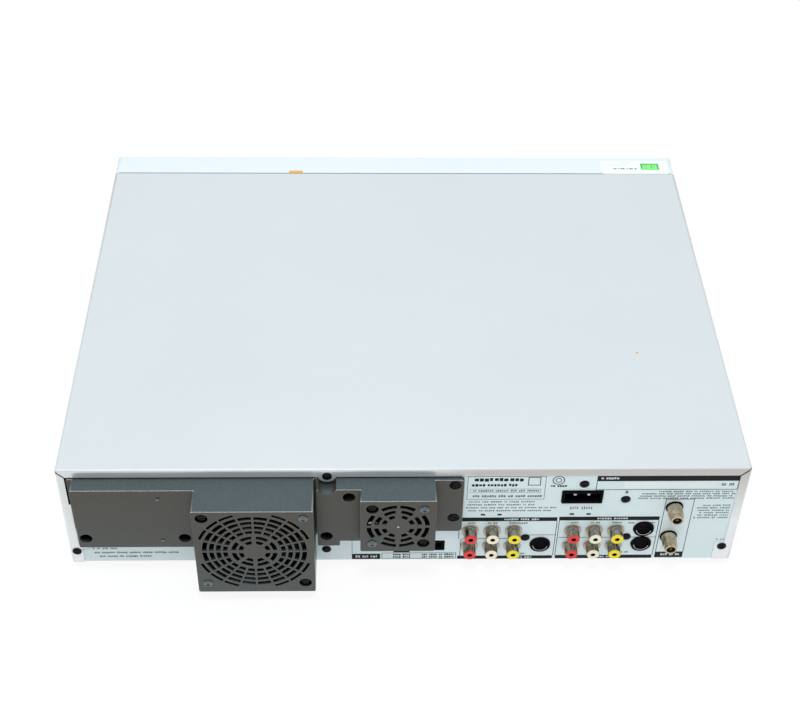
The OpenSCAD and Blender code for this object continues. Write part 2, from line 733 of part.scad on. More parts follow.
// The turning part of a fan: a cup, its shaft and the blades.
module fan_rotor(d, bore_r, hub_r) {
    cup_y = strut_t + 0.6;
    cup_end = d - 0.8;
    difference() {
        bar_y(hub_r, 0, cup_y, cup_end, 0);
        bar_y(hub_r - 1.5, 0, cup_y - over, cup_end - 1.5, 0);
    }
    bar_y(fan_shaft_r, 0, cup_y, cup_end, 0);
    intersection() {
        for (i = [0 : blades - 1])
            rotate([0, i * 360 / blades, 0]) translate([bore_r / 2, (cup_y + cup_end) / 2, 0])
                rotate([38, 0, 0]) cube([bore_r + 4, 1.3, d * 1.2], center = true);
        difference() {
            bar_y(bore_r - 1, 0, cup_y + 0.3, cup_end - 0.3, 0);
            bar_y(hub_r - 0.5, 0, cup_y, cup_end, 0);
        }
    }
}

module at_big_fan() {
    at_rear() translate([big_x, big_box_d - case_t - big_fan_d, big_z]) children();
}

module at_small_fan() {
    at_rear() translate([small_x, small_box_d - case_t - small_fan_d, small_z]) children();
}

module large_fan_frame() {
    color("black") at_big_fan() fan_frame(big_fan_w, big_fan_d, big_fan_holes, big_fan_w / 2 - 2, big_hub_r);
}

module large_fan_rotor() {
    color("black") at_big_fan() fan_rotor(big_fan_d, big_fan_w / 2 - 2, big_hub_r);
}

module small_fan_frame() {
    color("black") at_small_fan()
        fan_frame(small_fan_w, small_fan_d, small_fan_holes, small_fan_w / 2 - 1.2, small_hub_r);
}

module small_fan_rotor() {
    color("black") at_small_fan() fan_rotor(small_fan_d, small_fan_w / 2 - 1.2, small_hub_r);
}

// ---- sockets at the rear ----

module phono_places(columns) {
    at_rear() for (gx = phono_x, i = columns, j = [0, 1])
        translate([gx + i * phono_pitch, 0, phono_z + j * phono_row]) children();
}

module phono_sleeves() {
    color("silver") phono_places([-1, 0, 1]) {
        difference() {
            union() {
                bar_y(phono_dia / 2 + 1.4, 0, panel_out, panel_out + 0.9, 0);
                bar_y(phono_dia / 2, 0, panel_in, phono_reach - phono_rim, 0);
            }
            bar_y(phono_dia / 2 - 0.5, 0, panel_in - over, phono_reach + over, 0);
        }
    }
}

// The coloured lining of a phono socket, with the hole for the plug's pin.
module phono_lining() {
    difference() {
        union() {
            bar_y(phono_dia / 2 - 0.5 - fit, 0, panel_in, phono_reach, 0);
            bar_y(phono_dia / 2 - 0.3, 0, phono_reach - phono_rim, phono_reach, 0);
        }
        bar_y(1.6, 0, panel_in + over, phono_reach + over, 0);
    }
}

module phono_linings_red() {
    color("red") phono_places([1]) phono_lining();
}

module phono_linings_white() {
    color("white") phono_places([0]) phono_lining();
}

module phono_linings_yellow() {
    color("gold") phono_places([-1]) phono_lining();
}

module svideo_sockets() {
    half = svideo_dia / 2;
    color("black") at_rear() difference() {
        union() {
            for (at = svideo_at) bar_y(half, at[0], panel_in - over, panel_out + 1.2, at[1]);
            for (i = [0, 1])
                block(svideo_at[i][0] - half, svideo_at[i][0] + half, panel_in - 12, panel_in, board_top,
                      svideo_at[i][1] + half);
        }
        for (at = svideo_at) {
            difference() {
                bar_y(half - 1.6, at[0], panel_in, panel_out + 2, at[1]);
                bar_y(half - 2.6, at[0], panel_in, panel_out + 0.6, at[1]);
            }
            for (i = [-1, 1], j = [-1, 1])
                bar_y(0.7, at[0] + i * 1.7, panel_in, panel_out + 2, at[1] + j * 1.5);
        }
    }
}

module aerial_sockets() {
    r = aerial_dia / 2;
    color("darkkhaki") at_rear() for (at = aerial_at) translate([at[0], 0, at[1]]) {
        difference() {
            union() {
                bar_y(r, 0, panel_in, aerial_reach - aerial_tip, 0);
                bar_y(r - 0.8, 0, panel_in, aerial_reach, 0);
                bar_y(r + 0.9, 0, panel_in, panel_out, 0);
            }
            bar_y(r - 1.8, 0, aerial_reach - 8, aerial_reach + over, 0);
        }
        difference() {
            bar_y(r - 1.8, 0, aerial_reach - 8.1, aerial_reach - 0.8, 0);
            bar_y(0.8, 0, aerial_reach - 7, aerial_reach, 0);
        }
    }
}

module tuner_can() {
    color("silver") at_rear() difference() {
        block(aerial_at[0][0] - 15, aerial_at[0][0] + 10, panel_in - 62, panel_in, board_top,
              aerial_at[1][1] + 9);
        // Row of cooling slots in the can's top.
        for (i = [0 : 5])
            block(aerial_at[0][0] - 10, aerial_at[0][0] + 5, panel_in - 55 + i * 8, panel_in - 52 + i * 8,
                  aerial_at[1][1] + 8, aerial_at[1][1] + 9 + over);
    }
}

// Black mouldings on the main board: phono housings, then the digital and control sockets.
module socket_blocks() {
    side = phono_pitch + 5.4;
    deep = panel_in - 12;
    lip = panel_out + 0.4;
    color("black") at_rear() {
        for (gx = phono_x)
            block(gx - side, gx + side, deep, panel_in, board_top, phono_z + phono_row + 6.6);
        difference() {
            union() {
                block(-26.4, -6.1, deep, lip, 9.6, 18.4);
                block(-26.4, -6.1, deep, panel_in, board_top, 10);
                block(-3.9, 6.1, deep, lip, 7.6, 17.4);
                block(-3.9, 6.1, deep, panel_in, board_top, 8);
                bar_y(3, 22, panel_in - over, lip, 14);
                block(18, 26, deep, panel_in, board_top, 18);
            }
            block(-24.8, -7.7, panel_in - 5, lip + over, 11.4, 16.8);
            block(-2.2, 4.4, panel_in - 6, lip + over, 9.4, 15.8);
            bar_y(1.8, 22, panel_in - 10, lip + over, 14);
        }
    }
}

module ac_inlet() {
    w = inlet_w / 2;
    h = inlet_h / 2;
    wall = 1.6;
    color("black") at_rear() translate([inlet_x, 0, inlet_z]) difference() {
        union() {
            block(-w, w, panel_in - inlet_d - 3, panel_out + 1.2, -h, h);
            block(-w - 2, w + 2, panel_in - 8, panel_in, -h - 1.5, h + 1.5);
            block(-w + 2, w - 2, panel_in - inlet_d, panel_in - 2, power_top - inlet_z, -h + 0.1);
        }
        block(-w + wall, w - wall, panel_out + 1.2 - inlet_d, panel_out + 2, -h + wall, h - wall);
        for (side = [-1, 1]) bar_y(1.2, side * pin_pitch / 2, panel_in - inlet_d - 4, panel_out, 0);
    }
}

module ac_pins() {
    color("silver") at_rear() for (side = [-1, 1])
        bar_y(1.15, inlet_x + side * pin_pitch / 2, panel_in - inlet_d - 5, panel_out - 2.5, inlet_z);
}

// ---- boards ----

module main_board() {
    edge = pan_x - 10;
    wide = -108;
    color("darkgreen") at_rear() {
        block(-edge, edge, post_y + 5, panel_in - 0.5, board_top - board_t, board_top);
        block(4, edge, wide, post_y + 6, board_top - board_t, board_top);
        // Chips, the largest with a finned cooling block, then connectors and capacitors.
        block(60, 92, wide + 12, wide + 44, board_top, board_top + 2.4);
        block(62, 90, wide + 14, wide + 42, board_top + 2.3, board_top + 4.4);
        for (i = [0 : 6])
            block(62 + i * 4.4, 63.6 + i * 4.4, wide + 14, wide + 42, board_top + 4.3, board_top + 14);
        for (x = [108, 128, 148], y = [wide + 16, wide + 38])
            block(x, x + 12, y, y + 16, board_top, board_top + 1.6);
        for (x = [14, 34]) block(x, x + 16, wide + 4, wide + 10, board_top, board_top + 6);
        for (x = [170, 184]) bar_z(4, x, wide + 48, board_top, board_top + 11);
    }
}

module power_board() {
    color("tan") at_rear()
        block(-152, -20, post_y - 3, panel_in - 0.5, power_top - board_t, power_top);
}

module transformer() {
    color("goldenrod") at_rear() translate([-44, -36, power_top]) {
        block(-17, 17, -14, 14, 0, 9);
        block(-17, 17, -14, 14, 19, 28);
        block(-6, 6, -13, 13, 8, 20);
        bar_z(12.6, 0, 0, 8.8, 19.2);
        for (side = [-1, 1]) block(side * 15 - 2, side * 15 + 2, -14, 14, 8, 20);
    }
}

module power_capacitors() {
    color("midnightblue") at_rear() {
        bar_z(11, -136, -44, power_top, power_top + 30);
        for (x = [-114, -100]) bar_z(5, x, -58, power_top, power_top + 22);
        for (x = [-28], y = [-60, -12]) bar_z(5, x, y, power_top, power_top + 18);
    }
}

module heat_sinks() {
    color("silver") at_rear() for (x = [-90, -73]) {
        block(x, x + 2, -60, -12, power_top, power_top + 30);
        for (y = [-59 : 8 : -12]) block(x + 1, x + 8, y, y + 1.4, power_top + 4, power_top + 30);
    }
}

// Switches stand behind the keys; the lit display stands behind the window.
module front_board() {
    back = front_board_y + board_t;
    color("darkgreen") at_front() {
        block(-pan_x + 9, -8, front_board_y, back, pan_t + 3, cassette_slot_z - 3);
        block(-9, pan_x - 8, front_board_y, back, pan_t + 3, tray_slot_z - 4);
        block(channel_key_at[0][0] - 9, pan_x - 8, front_board_y, back, pan_t + 3, disc_key_z + 3);
        block(disc_key_at[0][0] - 10, pan_x - 8, front_board_y, back,
              tray_slot_z + tray_slot_h + 0.5, disc_key_z + 3);
        for (at = key_at)
            block(at[0] - 3, at[0] + 3, key_back + key_travel + 0.1, front_board_y + 0.1,
                  at[1] - 3, at[1] + 3);
        block(window_x - window_w / 2 + 8, window_x + window_w / 2 - 8, bezel_t + 1.5, front_board_y + 0.1,
              window_z + 3.5, window_z + window_h - 3.5);
        // Feet that stand on the pan.
        for (x = [-150, 0, 90]) block(x, x + 8, front_board_y, back, bezel_t, pan_t + 3.1);
    }
}

// ---- front panel and what it holds ----

// Straight keys' outline, grown by a margin.
module key_outline(at, w, h, margin) {
    round_rect(at[0] - w / 2 - margin, at[0] + w / 2 + margin, at[1] - h / 2 - margin, at[1] + h / 2 + margin,
               key_r + margin);
}

module key_hole_outlines() {
    translate(power_key_at) circle(power_key_r + door_gap);
    for (at = concat(tape_key_at, disc_key_at)) key_outline(at, key_w, key_h, door_gap);
    for (at = channel_key_at) key_outline(at, channel_key_w, channel_key_h, door_gap);
}

module hinge_lugs(x, half, y, z) {
    for (side = [-1, 1])
        block(x + side * (half + 1.5) - 1.5, x + side * (half + 1.5) + 1.5,
              bezel_t - 0.1, y + 2.6, z - 2.6, z + 2.6);
}

module front_panel() {
    half = body_w / 2;
    flap_half = flap_w / 2;
    slot_half = cassette_slot_w / 2;
    color("whitesmoke") at_front() difference() {
        union() {
            difference() {
                upright(0, bezel_d) round_rect(-half, half, 0, body_h, bezel_r);
                upright(bezel_t, bezel_d + over)
                    round_rect(-half + bezel_t, half - bezel_t, bezel_t, body_h - bezel_t, 1);
            }
            block(flap_x - flap_half - bay_t, flap_x + flap_half + bay_t, bezel_t - 0.1, bay_d,
                  flap_z - bay_t, flap_z + flap_h + bay_t);
            hinge_lugs(vcr_x, slot_half, door_hinge_y, door_hinge_z);
            for (x = [-hook_x, 0, hook_x]) {
                block(x - 5, x + 5, bezel_d - 5, bezel_d - 1, bezel_t - 0.1, lip_h + 2);
                block(x - 5, x + 5, bezel_d - 5, pan_front + pan_t + 2, lip_h, lip_h + 2);
            }
        }
        block(vcr_x - slot_half, vcr_x + slot_half, -over, bezel_t + over,
              cassette_slot_z, cassette_slot_z + cassette_slot_h);
        block(disc_x - tray_slot_w / 2, disc_x + tray_slot_w / 2, -over, bezel_t + over,
              tray_slot_z, tray_slot_z + tray_slot_h);
        block(window_x - window_w / 2, window_x + window_w / 2, -over, window_t,
              window_z, window_z + window_h);
        block(window_x - window_w / 2 + window_lip, window_x + window_w / 2 - window_lip,
              -over, bezel_t + over, window_z + window_lip, window_z + window_h - window_lip);
        block(flap_x - flap_half, flap_x + flap_half, -over, bay_d - bay_t, flap_z, flap_z + flap_h);
        for (i = [0 : 3])
            bar_y(phono_dia / 2 + 0.4, front_socket_at[0] + i * 18, 0, bay_d + over, front_socket_at[1]);
        bar_x(pin_r + fit, flap_x - flap_half - 1.4, flap_x + flap_half + 1.4, flap_hinge_y, flap_hinge_z);
        bar_x(pin_r + fit, vcr_x - slot_half - 1.8, vcr_x + slot_half + 1.8, door_hinge_y, door_hinge_z);
        upright(-over, bezel_t + over) key_hole_outlines();
    }
}

module display_window() {
    color("black") at_front()
        block(window_x - window_w / 2 + 0.15, window_x + window_w / 2 - 0.15, 0, window_t,
              window_z + 0.15, window_z + window_h - 0.15);
}

module front_sockets() {
    z = front_socket_at[1];
    color("silver") at_front() for (i = [0 : 3]) translate([front_socket_at[0] + i * 18, 0, 0]) difference() {
        union() {
            bar_y(phono_dia / 2, 0, bay_d - 5, front_board_y, z);
            block(-6, 6, bay_d, front_board_y, z - 6, z + 6);
        }
        bar_y(i < 3 ? 1.6 : phono_dia / 2 - 1.2, 0, bay_d - 6, bay_d - 1, z);
    }
}

module front_flap() {
    half = flap_w / 2 - door_gap;
    color("whitesmoke") at_front() translate([flap_x, 0, 0]) difference() {
        union() {
            bar_x(flap_r, -half, half, flap_hinge_y, flap_hinge_z);
            block(-half, half, flap_recess, flap_recess + flap_t, flap_hinge_z, flap_z + flap_h - door_gap);
            bar_x(pin_r, -flap_w / 2 - 1.2, flap_w / 2 + 1.2, flap_hinge_y, flap_hinge_z);
        }
        // Finger notch in the upper edge.
        bar_y(9, 0, -over, flap_recess + 1.2, flap_z + flap_h + 6);
    }
}

module cassette_door() {
    half = cassette_slot_w / 2 - door_gap;
    color("gainsboro") at_deck() {
        bar_x(hinge_r, -half, half, door_hinge_y, door_hinge_z);
        block(-half, half, door_recess, door_recess + door_t, cassette_slot_z + door_gap, door_hinge_z);
        bar_x(pin_r, -cassette_slot_w / 2 - 1.6, cassette_slot_w / 2 + 1.6, door_hinge_y, door_hinge_z);
    }
}

// A straight key: its cap, the flange that stops it inside the panel, and its stem.
module straight_key(at, w, h) {
    color("silver") at_front() {
        upright(-key_proud, bezel_t + key_flange) key_outline(at, w, h, 0);
        upright(bezel_t, bezel_t + key_flange) key_outline(at, w, h, door_gap + 1);
        bar_y(2, at[0], bezel_t, key_back, at[1]);
    }
}

module power_key() {
    color("silver") at_front() {
        bar_y(power_key_r, power_key_at[0], -key_proud, bezel_t + key_flange, power_key_at[1]);
        bar_y(power_key_r + door_gap + 1, power_key_at[0], bezel_t, bezel_t + key_flange, power_key_at[1]);
        bar_y(2, power_key_at[0], bezel_t, key_back, power_key_at[1]);
    }
}

module tape_eject_key() { straight_key(tape_key_at[0], key_w, key_h); }
module tape_stop_key() { straight_key(tape_key_at[1], key_w, key_h); }
module tape_play_key() { straight_key(tape_key_at[2], key_w, key_h); }
module disc_open_key() { straight_key(disc_key_at[0], key_w, key_h); }
module disc_play_key() { straight_key(disc_key_at[1], key_w, key_h); }
module channel_down_key() { straight_key(channel_key_at[0], channel_key_w, channel_key_h); }
module channel_up_key() { straight_key(channel_key_at[1], channel_key_w, channel_key_h); }

// ---- cassette deck ----

// A deck plate on folded sides, with the pins and bearings of what turns on it.
module deck_plate() {
    outer = deck_wall_x + deck_t;
    wall_end = holder_y + holder_d + carriage_travel + 8;
    color("silver") at_deck() difference() {
        union() {
            block(-outer, outer, deck_y, deck_end, deck_z, deck_top);
            for (side = [-1, 1]) {
                block(side * (outer - deck_t / 2) - deck_t / 2, side * (outer - deck_t / 2) + deck_t / 2,
                      deck_y, wall_end, pan_t, deck_wall_top);
                bar_z(4, side * (outer - 12), deck_end - 6, pan_t, deck_z + 0.1);
                bar_z(reel_pin_r + 1.5, side * reel_pitch / 2, reel_y, deck_z, deck_top + 1);
                bar_z(reel_pin_r, side * reel_pitch / 2, reel_y, deck_z, deck_top + 16);
            }
            bar_z(5, capstan_at[0], capstan_at[1], deck_z, deck_top + 2);
            bar_z(reel_pin_r + 1.5, pinch_at[0], pinch_at[1], deck_z, deck_top + 1);
            bar_z(reel_pin_r, pinch_at[0], pinch_at[1], deck_z, deck_top + 10);
        }
        bar_z(capstan_dia / 2 + fit, capstan_at[0], capstan_at[1], deck_z - over, deck_top + 3);
        for (side = [-1, 1], y = rail_peg_y) {
            block(side * outer - 3, side * outer + 3, y, y + carriage_travel,
                  rail_peg_z - peg_r - peg_fit, rail_peg_z + peg_r + peg_fit);
            for (end = [0, carriage_travel])
                bar_x(peg_r + peg_fit, side * outer - 3, side * outer + 3, y + end, rail_peg_z);
        }
    }
}

// Side rails joined by bridges over the holder; pegs run in the deck's long slots.
module cassette_carriage() {
    outer = rail_x + rail_t;
    rail_top = holder_top + 1.2;
    color("gray") at_deck() difference() {
        union() {
            for (side = [-1, 1]) {
                block(side * (outer - rail_t / 2) - rail_t / 2, side * (outer - rail_t / 2) + rail_t / 2,
                      holder_y, holder_y + holder_d, rail_z, rail_top + 1.2);
                for (y = rail_peg_y)
                    bar_x(peg_r, side * (outer + 1.5) - 1.6, side * (outer + 1.5) + 1.6, y, rail_peg_z);
            }
            for (y = [holder_y + 24, holder_y + holder_d - 34])
                block(-outer, outer, y, y + 12, rail_top, rail_top + 1.2);
        }
        for (side = [-1, 1], y = holder_peg_y) {
            block(side * outer - 3, side * outer + 3, y - peg_r - peg_fit, y + peg_r + peg_fit,
                  holder_peg_z - lower_travel, holder_peg_z);
            for (drop = [0, lower_travel])
                bar_x(peg_r + peg_fit, side * outer - 3, side * outer + 3, y, holder_peg_z - drop);
        }
    }
}

// An open-fronted sleeve for the cassette, with ledges in place of a floor.
module cassette_holder() {
    half = holder_w / 2;
    color("silver") at_deck() {
        difference() {
            block(-half, half, holder_y, holder_y + holder_d, holder_floor - holder_t, holder_top);
            block(-half + holder_t, half - holder_t, holder_y - over, holder_y + holder_d - holder_t,
                  holder_floor, holder_top - holder_t);
            block(-half + holder_ledge, half - holder_ledge, holder_y - over, holder_y + holder_d - holder_t,
                  holder_floor - 2, holder_floor + over);
            for (x = [-30, 30])
                block(x - 14, x + 14, holder_y + 50, holder_y + 78, holder_top - 2, holder_top + over);
        }
        for (side = [-1, 1], y = holder_peg_y)
            bar_x(peg_r, side * (half + 0.9) - 1, side * (half + 0.9) + 1, y, holder_peg_z);
    }
}

module reel(side) {
    color("white") at_deck() translate([side * reel_pitch / 2, reel_y, deck_top + 1]) difference() {
        union() {
            cylinder(r = reel_r, h = 3);
            cylinder(r = 5, h = 16);
            for (turn = [0 : 120 : 240]) rotate(turn) block(0, 7.4, -0.9, 0.9, 2, 14);
        }
        translate([0, 0, -over]) cylinder(r = reel_pin_r + fit, h = 20);
    }
}

module supply_reel() { reel(-1); }
module takeup_reel() { reel(1); }

module drum_axis() {
    at_deck() translate([0, drum_y, deck_top + 2]) rotate([drum_lean, 0, 0]) children();
}

module lower_drum() {
    r = drum_dia / 2;
    color("silver") difference() {
        intersection() {
            drum_axis() bar_z(r, 0, 0, -10, drum_split);
            at_deck() block(-r - 1, r + 1, drum_y - r - 6, drum_y + r + 6, deck_top, deck_top + 60);
        }
        drum_axis() bar_z(drum_shaft_r + fit, 0, 0, drum_split - 14, drum_split + over);
    }
}

module upper_drum() {
    r = drum_dia / 2;
    color("silver") drum_axis() {
        difference() {
            bar_z(r, 0, 0, drum_split + 0.4, drum_split + 14);
            translate([0, 0, drum_split + 12]) difference() {
                cylinder(r = r - 3, h = 3);
                cylinder(r = r - 18, h = 3);
            }
        }
        bar_z(drum_shaft_r, 0, 0, drum_split - 13, drum_split + 1);
    }
}

module tape_guides() {
    color("silver") at_deck() {
        for (at = [[-44, drum_y - 23], [-58, drum_y + 4], [44, drum_y - 23]]) {
            bar_z(2, at[0], at[1], deck_top, deck_top + 30);
            for (z = [deck_top, deck_top + 8, deck_top + 28]) bar_z(3.6, at[0], at[1], z, z + 2);
        }
        block(38, 46, drum_y - 1, drum_y + 9, deck_top, deck_top + 28);
        block(-78, -68, drum_y - 12, drum_y - 4, deck_top, deck_top + 24);
    }
}

module capstan_flywheel() {
    color("darkgray") at_deck() translate([capstan_at[0], capstan_at[1], 0]) {
        bar_z(capstan_dia / 2, 0, 0, wheel_z - 1, deck_top + 34);
        bar_z(wheel_r, 0, 0, wheel_z, wheel_z + wheel_h);
        bar_z(4, 0, 0, wheel_z + wheel_h - over, deck_z);
    }
}

// An arm on a pin, with the rubber roller that presses the tape to the capstan.
module pinch_arm() {
    color("dimgray") at_deck() translate([pinch_at[0], pinch_at[1], deck_top + 1])
        rotate(pinch_rest) difference() {
            union() {
                cylinder(r = 5, h = 8);
                block(0, pinch_l, -3.5, 3.5, 2, 5);
                bar_z(3.5, pinch_l, 0, 2, 5);
                bar_z(pinch_r, pinch_l, 0, 6, 26);
                bar_z(1.5, pinch_l, 0, 2, 28);
            }
            translate([0, 0, -over]) cylinder(r = reel_pin_r + fit, h = 12);
        }
}

module drive_motors() {
    color("dimgray") {
        // Capstan and loading motors on the deck.
        at_deck() {
            bar_z(11, -72, drum_y + 18, deck_top, deck_top + 18);
            bar_z(2, -72, drum_y + 18, deck_top, deck_top + 24);
            block(62, 92, drum_y + 12, drum_y + 28, deck_top, deck_top + 16);
        }
        // Tray motor and disc motor on the drive's floor.
        at_drive() {
            bar_z(7, pinion_at[0] - pinion_r - 9, pinion_at[1], drive_floor, tray_z - 5);
            difference() {
                union() {
                    bar_z(11, 0, disc_y, drive_floor, drive_floor + 8);
                    bar_z(4, 0, disc_y, drive_floor, drive_floor + 11);
                }
                bar_z(spindle_r + fit, 0, disc_y, drive_floor + 1, drive_floor + 12);
            }
        }
    }
}

// ---- disc drive ----

module disc_drive_case() {
    half = drive_w / 2;
    end = drive_y + drive_l;
    color("silver") at_drive() difference() {
        union() {
            difference() {
                block(-half, half, drive_y, end, drive_z, drive_z + drive_h);
                block(-half + drive_t, half - drive_t, drive_y - over, end - drive_t,
                      drive_floor, drive_z + drive_h + over);
            }
            for (side = [-1, 1]) {
                rail_mid = side * (rail_in + half) / 2;
                rail_half = (half - rail_in) / 2;
                block(rail_mid - rail_half, rail_mid + rail_half, drive_y, end - 20, tray_z - 3, tray_z);
                for (y = [drive_y, drive_y + 60])
                    block(rail_mid - rail_half, rail_mid + rail_half, y, y + 16, tray_z + tray_h + 0.3,
                          tray_z + tray_h + 2);
                for (y = [sled_y - 6, sled_y + sled_l + sled_travel + 2])
                    block(side * rod_x - 3.5, side * rod_x + 3.5, y, y + 3, drive_z, rod_z + 3.5);
            }
            bar_z(4, pinion_at[0], pinion_at[1], drive_z, tray_z - rack_h - 0.4);
            bar_z(spindle_r, pinion_at[0], pinion_at[1], drive_z, tray_z - 0.6);
        }
        for (side = [-1, 1])
            bar_y(rod_r + fit, side * rod_x, sled_y - 7, sled_y + sled_l + sled_travel + 6, rod_z);
    }
}

// Lid of the disc drive, with the clamp that presses on the disc.
module disc_drive_lid() {
    top = drive_z + drive_h;
    color("silver") at_drive() {
        difference() {
            block(-drive_w / 2, drive_w / 2, drive_y, drive_y + drive_l, top, top + drive_t);
            for (side = [-1, 1])
                block(side * 45 - 12, side * 45 + 12, disc_y - 20, disc_y + 60, top - over, top + 2);
        }
        bar_z(table_r, 0, disc_y, table_top + 4, top + 0.1);
        bar_z(3, 0, disc_y, table_top + 3, table_top + 5);
    }
}

module guide_rods() {
    color("silver") at_drive() for (side = [-1, 1])
        bar_y(rod_r, side * rod_x, sled_y - 6, sled_y + sled_l + sled_travel + 5, rod_z);
}

module rack_tooth() {
    mid = PI * gear_module / 4 - backlash / 4;
    lean = tan(20) * gear_module;
    polygon([[1.5 * gear_module, mid + 1.5 * lean], [-gear_module, mid - lean],
             [-gear_module, lean - mid], [1.5 * gear_module, -mid - 1.5 * lean]]);
}

module disc_tray() {
    end = tray_y + tray_l;
    pitch = PI * gear_module;
    first = ceil((tray_y + 6 - pinion_at[1]) / pitch);
    last = floor((end - 3 - pinion_at[1]) / pitch) - 1;
    color("dimgray") at_drive() difference() {
        union() {
            block(-tray_w / 2, tray_w / 2, tray_y, end, tray_z, tray_z + tray_h);
            block(rack_x + 1.25 * gear_module, rail_in - 0.5, tray_y, end, tray_z - rack_h, tray_z + 0.1);
            translate([rack_x, pinion_at[1], tray_z - rack_h]) linear_extrude(rack_h + 0.1)
                for (i = [first : last]) translate([0, (i + 0.5) * pitch]) rack_tooth();
        }
        bar_z(disc_recess_dia / 2, 0, disc_y, tray_z + tray_floor, tray_z + tray_h + over);
        bar_z(41, 0, disc_y, tray_z + tray_floor - 0.8, tray_z + tray_h);
        block(-tray_mouth / 2, tray_mouth / 2, disc_y - 20, end + over,
              tray_z - over, tray_z + tray_h + over);
    }
}

module tray_front() {
    half = tray_slot_w / 2 - door_gap;
    color("gainsboro") at_drive() upright(0, tray_y)
        round_rect(-half, half, tray_slot_z + door_gap, tray_slot_z + tray_slot_h - door_gap, 0.8);
}

// Angle between the start of an involute and the point where its pressure angle is a.
function involute(a) = tan(a) * 180 / PI - a;

function on_circle(r, a) = [r * cos(a), r * sin(a)];

module tray_gear() {
    base = pinion_r * cos(20);
    tip = pinion_r + gear_module;
    half = 90 / pinion_teeth - backlash / 4 / pinion_r * 180 / PI + involute(20);
    radii = [for (i = [0 : 4]) base + (tip - base) * i / 4];
    low = [for (r = radii) [r, half - involute(acos(base / r))]];
    root = pinion_r - 1.25 * gear_module;
    color("white") at_drive() translate([pinion_at[0], pinion_at[1], tray_z - rack_h]) difference() {
        linear_extrude(rack_h - 0.4) polygon([for (i = [0 : pinion_teeth - 1]) each concat(
            [on_circle(root, i * 360 / pinion_teeth - half)],
            [for (p = low) on_circle(p[0], i * 360 / pinion_teeth - p[1])],
            [for (k = [4 : -1 : 0]) on_circle(low[k][0], i * 360 / pinion_teeth + low[k][1])],
            [on_circle(root, i * 360 / pinion_teeth + half)])]);
        translate([0, 0, -over]) cylinder(r = spindle_r + fit, h = rack_h + 2);
    }
}

module disc_turntable() {
    color("dimgray") at_drive() {
        bar_z(spindle_r, 0, disc_y, drive_floor + 2, table_top);
        bar_z(6, 0, disc_y, drive_floor + 11.4, table_top - 1);
        bar_z(table_r, 0, disc_y, table_top - 2, table_top);
        translate([0, disc_y, table_top]) cylinder(r1 = 7.4, r2 = 5.5, h = 2.4);
    }
}

module laser_sled() {
    color("dimgray") at_drive() difference() {
        union() {
            block(-rod_x - 4, rod_x + 4, sled_y, sled_y + sled_l, rod_z - 4, sled_top);
            bar_z(5, 0, sled_y + 8, sled_top - 1, sled_top + 1.6);
        }
        bar_z(2.4, 0, sled_y + 8, sled_top - 1, sled_top + 2);
        for (side = [-1, 1]) bar_y(rod_r + fit, side * rod_x, sled_y - over, sled_y + sled_l + over, rod_z);
    }
}

// ---- all pieces ----

bottom_chassis();
top_cover();
rear_panel();
front_panel();
feet();
display_window();
front_board();
main_board();
power_board();
transformer();
power_capacitors();
heat_sinks();
ac_inlet();
ac_pins();
phono_sleeves();
phono_linings_red();
phono_linings_white();
phono_linings_yellow();
socket_blocks();
svideo_sockets();
tuner_can();
aerial_sockets();
large_fan_case();
small_fan_case();
large_fan_frame();
small_fan_frame();
black_screws();
silver_screws();
deck_plate();
lower_drum();
tape_guides();
drive_motors();
disc_drive_case();
disc_drive_lid();
guide_rods();
front_sockets();
large_fan_rotor();
small_fan_rotor();
cassette_door();
cassette_carriage();
cassette_holder();
supply_reel();
takeup_reel();
upper_drum();
capstan_flywheel();
pinch_arm();
disc_tray();
tray_front();
tray_gear();
disc_turntable();
laser_sled();
front_flap();
power_key();
tape_eject_key();
tape_stop_key();
tape_play_key();
disc_open_key();
disc_play_key();
channel_down_key();
channel_up_key();
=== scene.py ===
import json
import math
import random

import bmesh
import bpy
from mathutils import Matrix, Vector


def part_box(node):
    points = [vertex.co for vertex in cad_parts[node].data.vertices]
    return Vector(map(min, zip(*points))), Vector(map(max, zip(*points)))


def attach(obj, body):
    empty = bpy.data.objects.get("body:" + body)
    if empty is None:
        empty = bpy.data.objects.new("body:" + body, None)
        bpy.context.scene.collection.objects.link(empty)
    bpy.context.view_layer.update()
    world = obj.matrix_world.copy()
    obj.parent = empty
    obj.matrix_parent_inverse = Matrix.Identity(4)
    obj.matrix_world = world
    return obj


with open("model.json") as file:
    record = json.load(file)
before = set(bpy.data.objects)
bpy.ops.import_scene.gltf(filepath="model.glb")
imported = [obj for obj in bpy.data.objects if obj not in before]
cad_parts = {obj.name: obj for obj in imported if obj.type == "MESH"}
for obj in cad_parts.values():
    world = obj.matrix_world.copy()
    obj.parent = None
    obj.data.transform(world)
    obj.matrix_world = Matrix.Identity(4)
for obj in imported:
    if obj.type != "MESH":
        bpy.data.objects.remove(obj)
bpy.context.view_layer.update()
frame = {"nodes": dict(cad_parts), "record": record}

# ---------------------------------------------------------------- places
# x and z in millimetres from the middle and the under side of the cabinet, y outward from the rear flange.
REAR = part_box("top_cover")[1].y
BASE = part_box("bottom_chassis")[0].z
TOP = (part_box("top_cover")[1].z - BASE) * 1000
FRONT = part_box("front_panel")[0].y
# The rear panel's outer face, behind the cover's flange.
PANEL = -0.8
# The middles of the two groups of phono sockets, the step between sockets, and the heights of the two rows.
PHONO_GROUPS = (-56.6, -122.5)
PHONO_STEP = 14
PHONO_ROWS = (13.5, 28.5)
# The mains inlet's pins.
PIN_PLACES = (-107.4, -116.0)
PIN_HEIGHT = 60.8


def at(x, out, z):
    """A place in the frame, in metres."""
    return Vector((x / 1000, REAR + out / 1000, BASE + z / 1000))


# ---------------------------------------------------------------- materials
def linear(c):
    c = c / 255
    return c / 12.92 if c <= 0.04045 else ((c + 0.055) / 1.055) ** 2.4


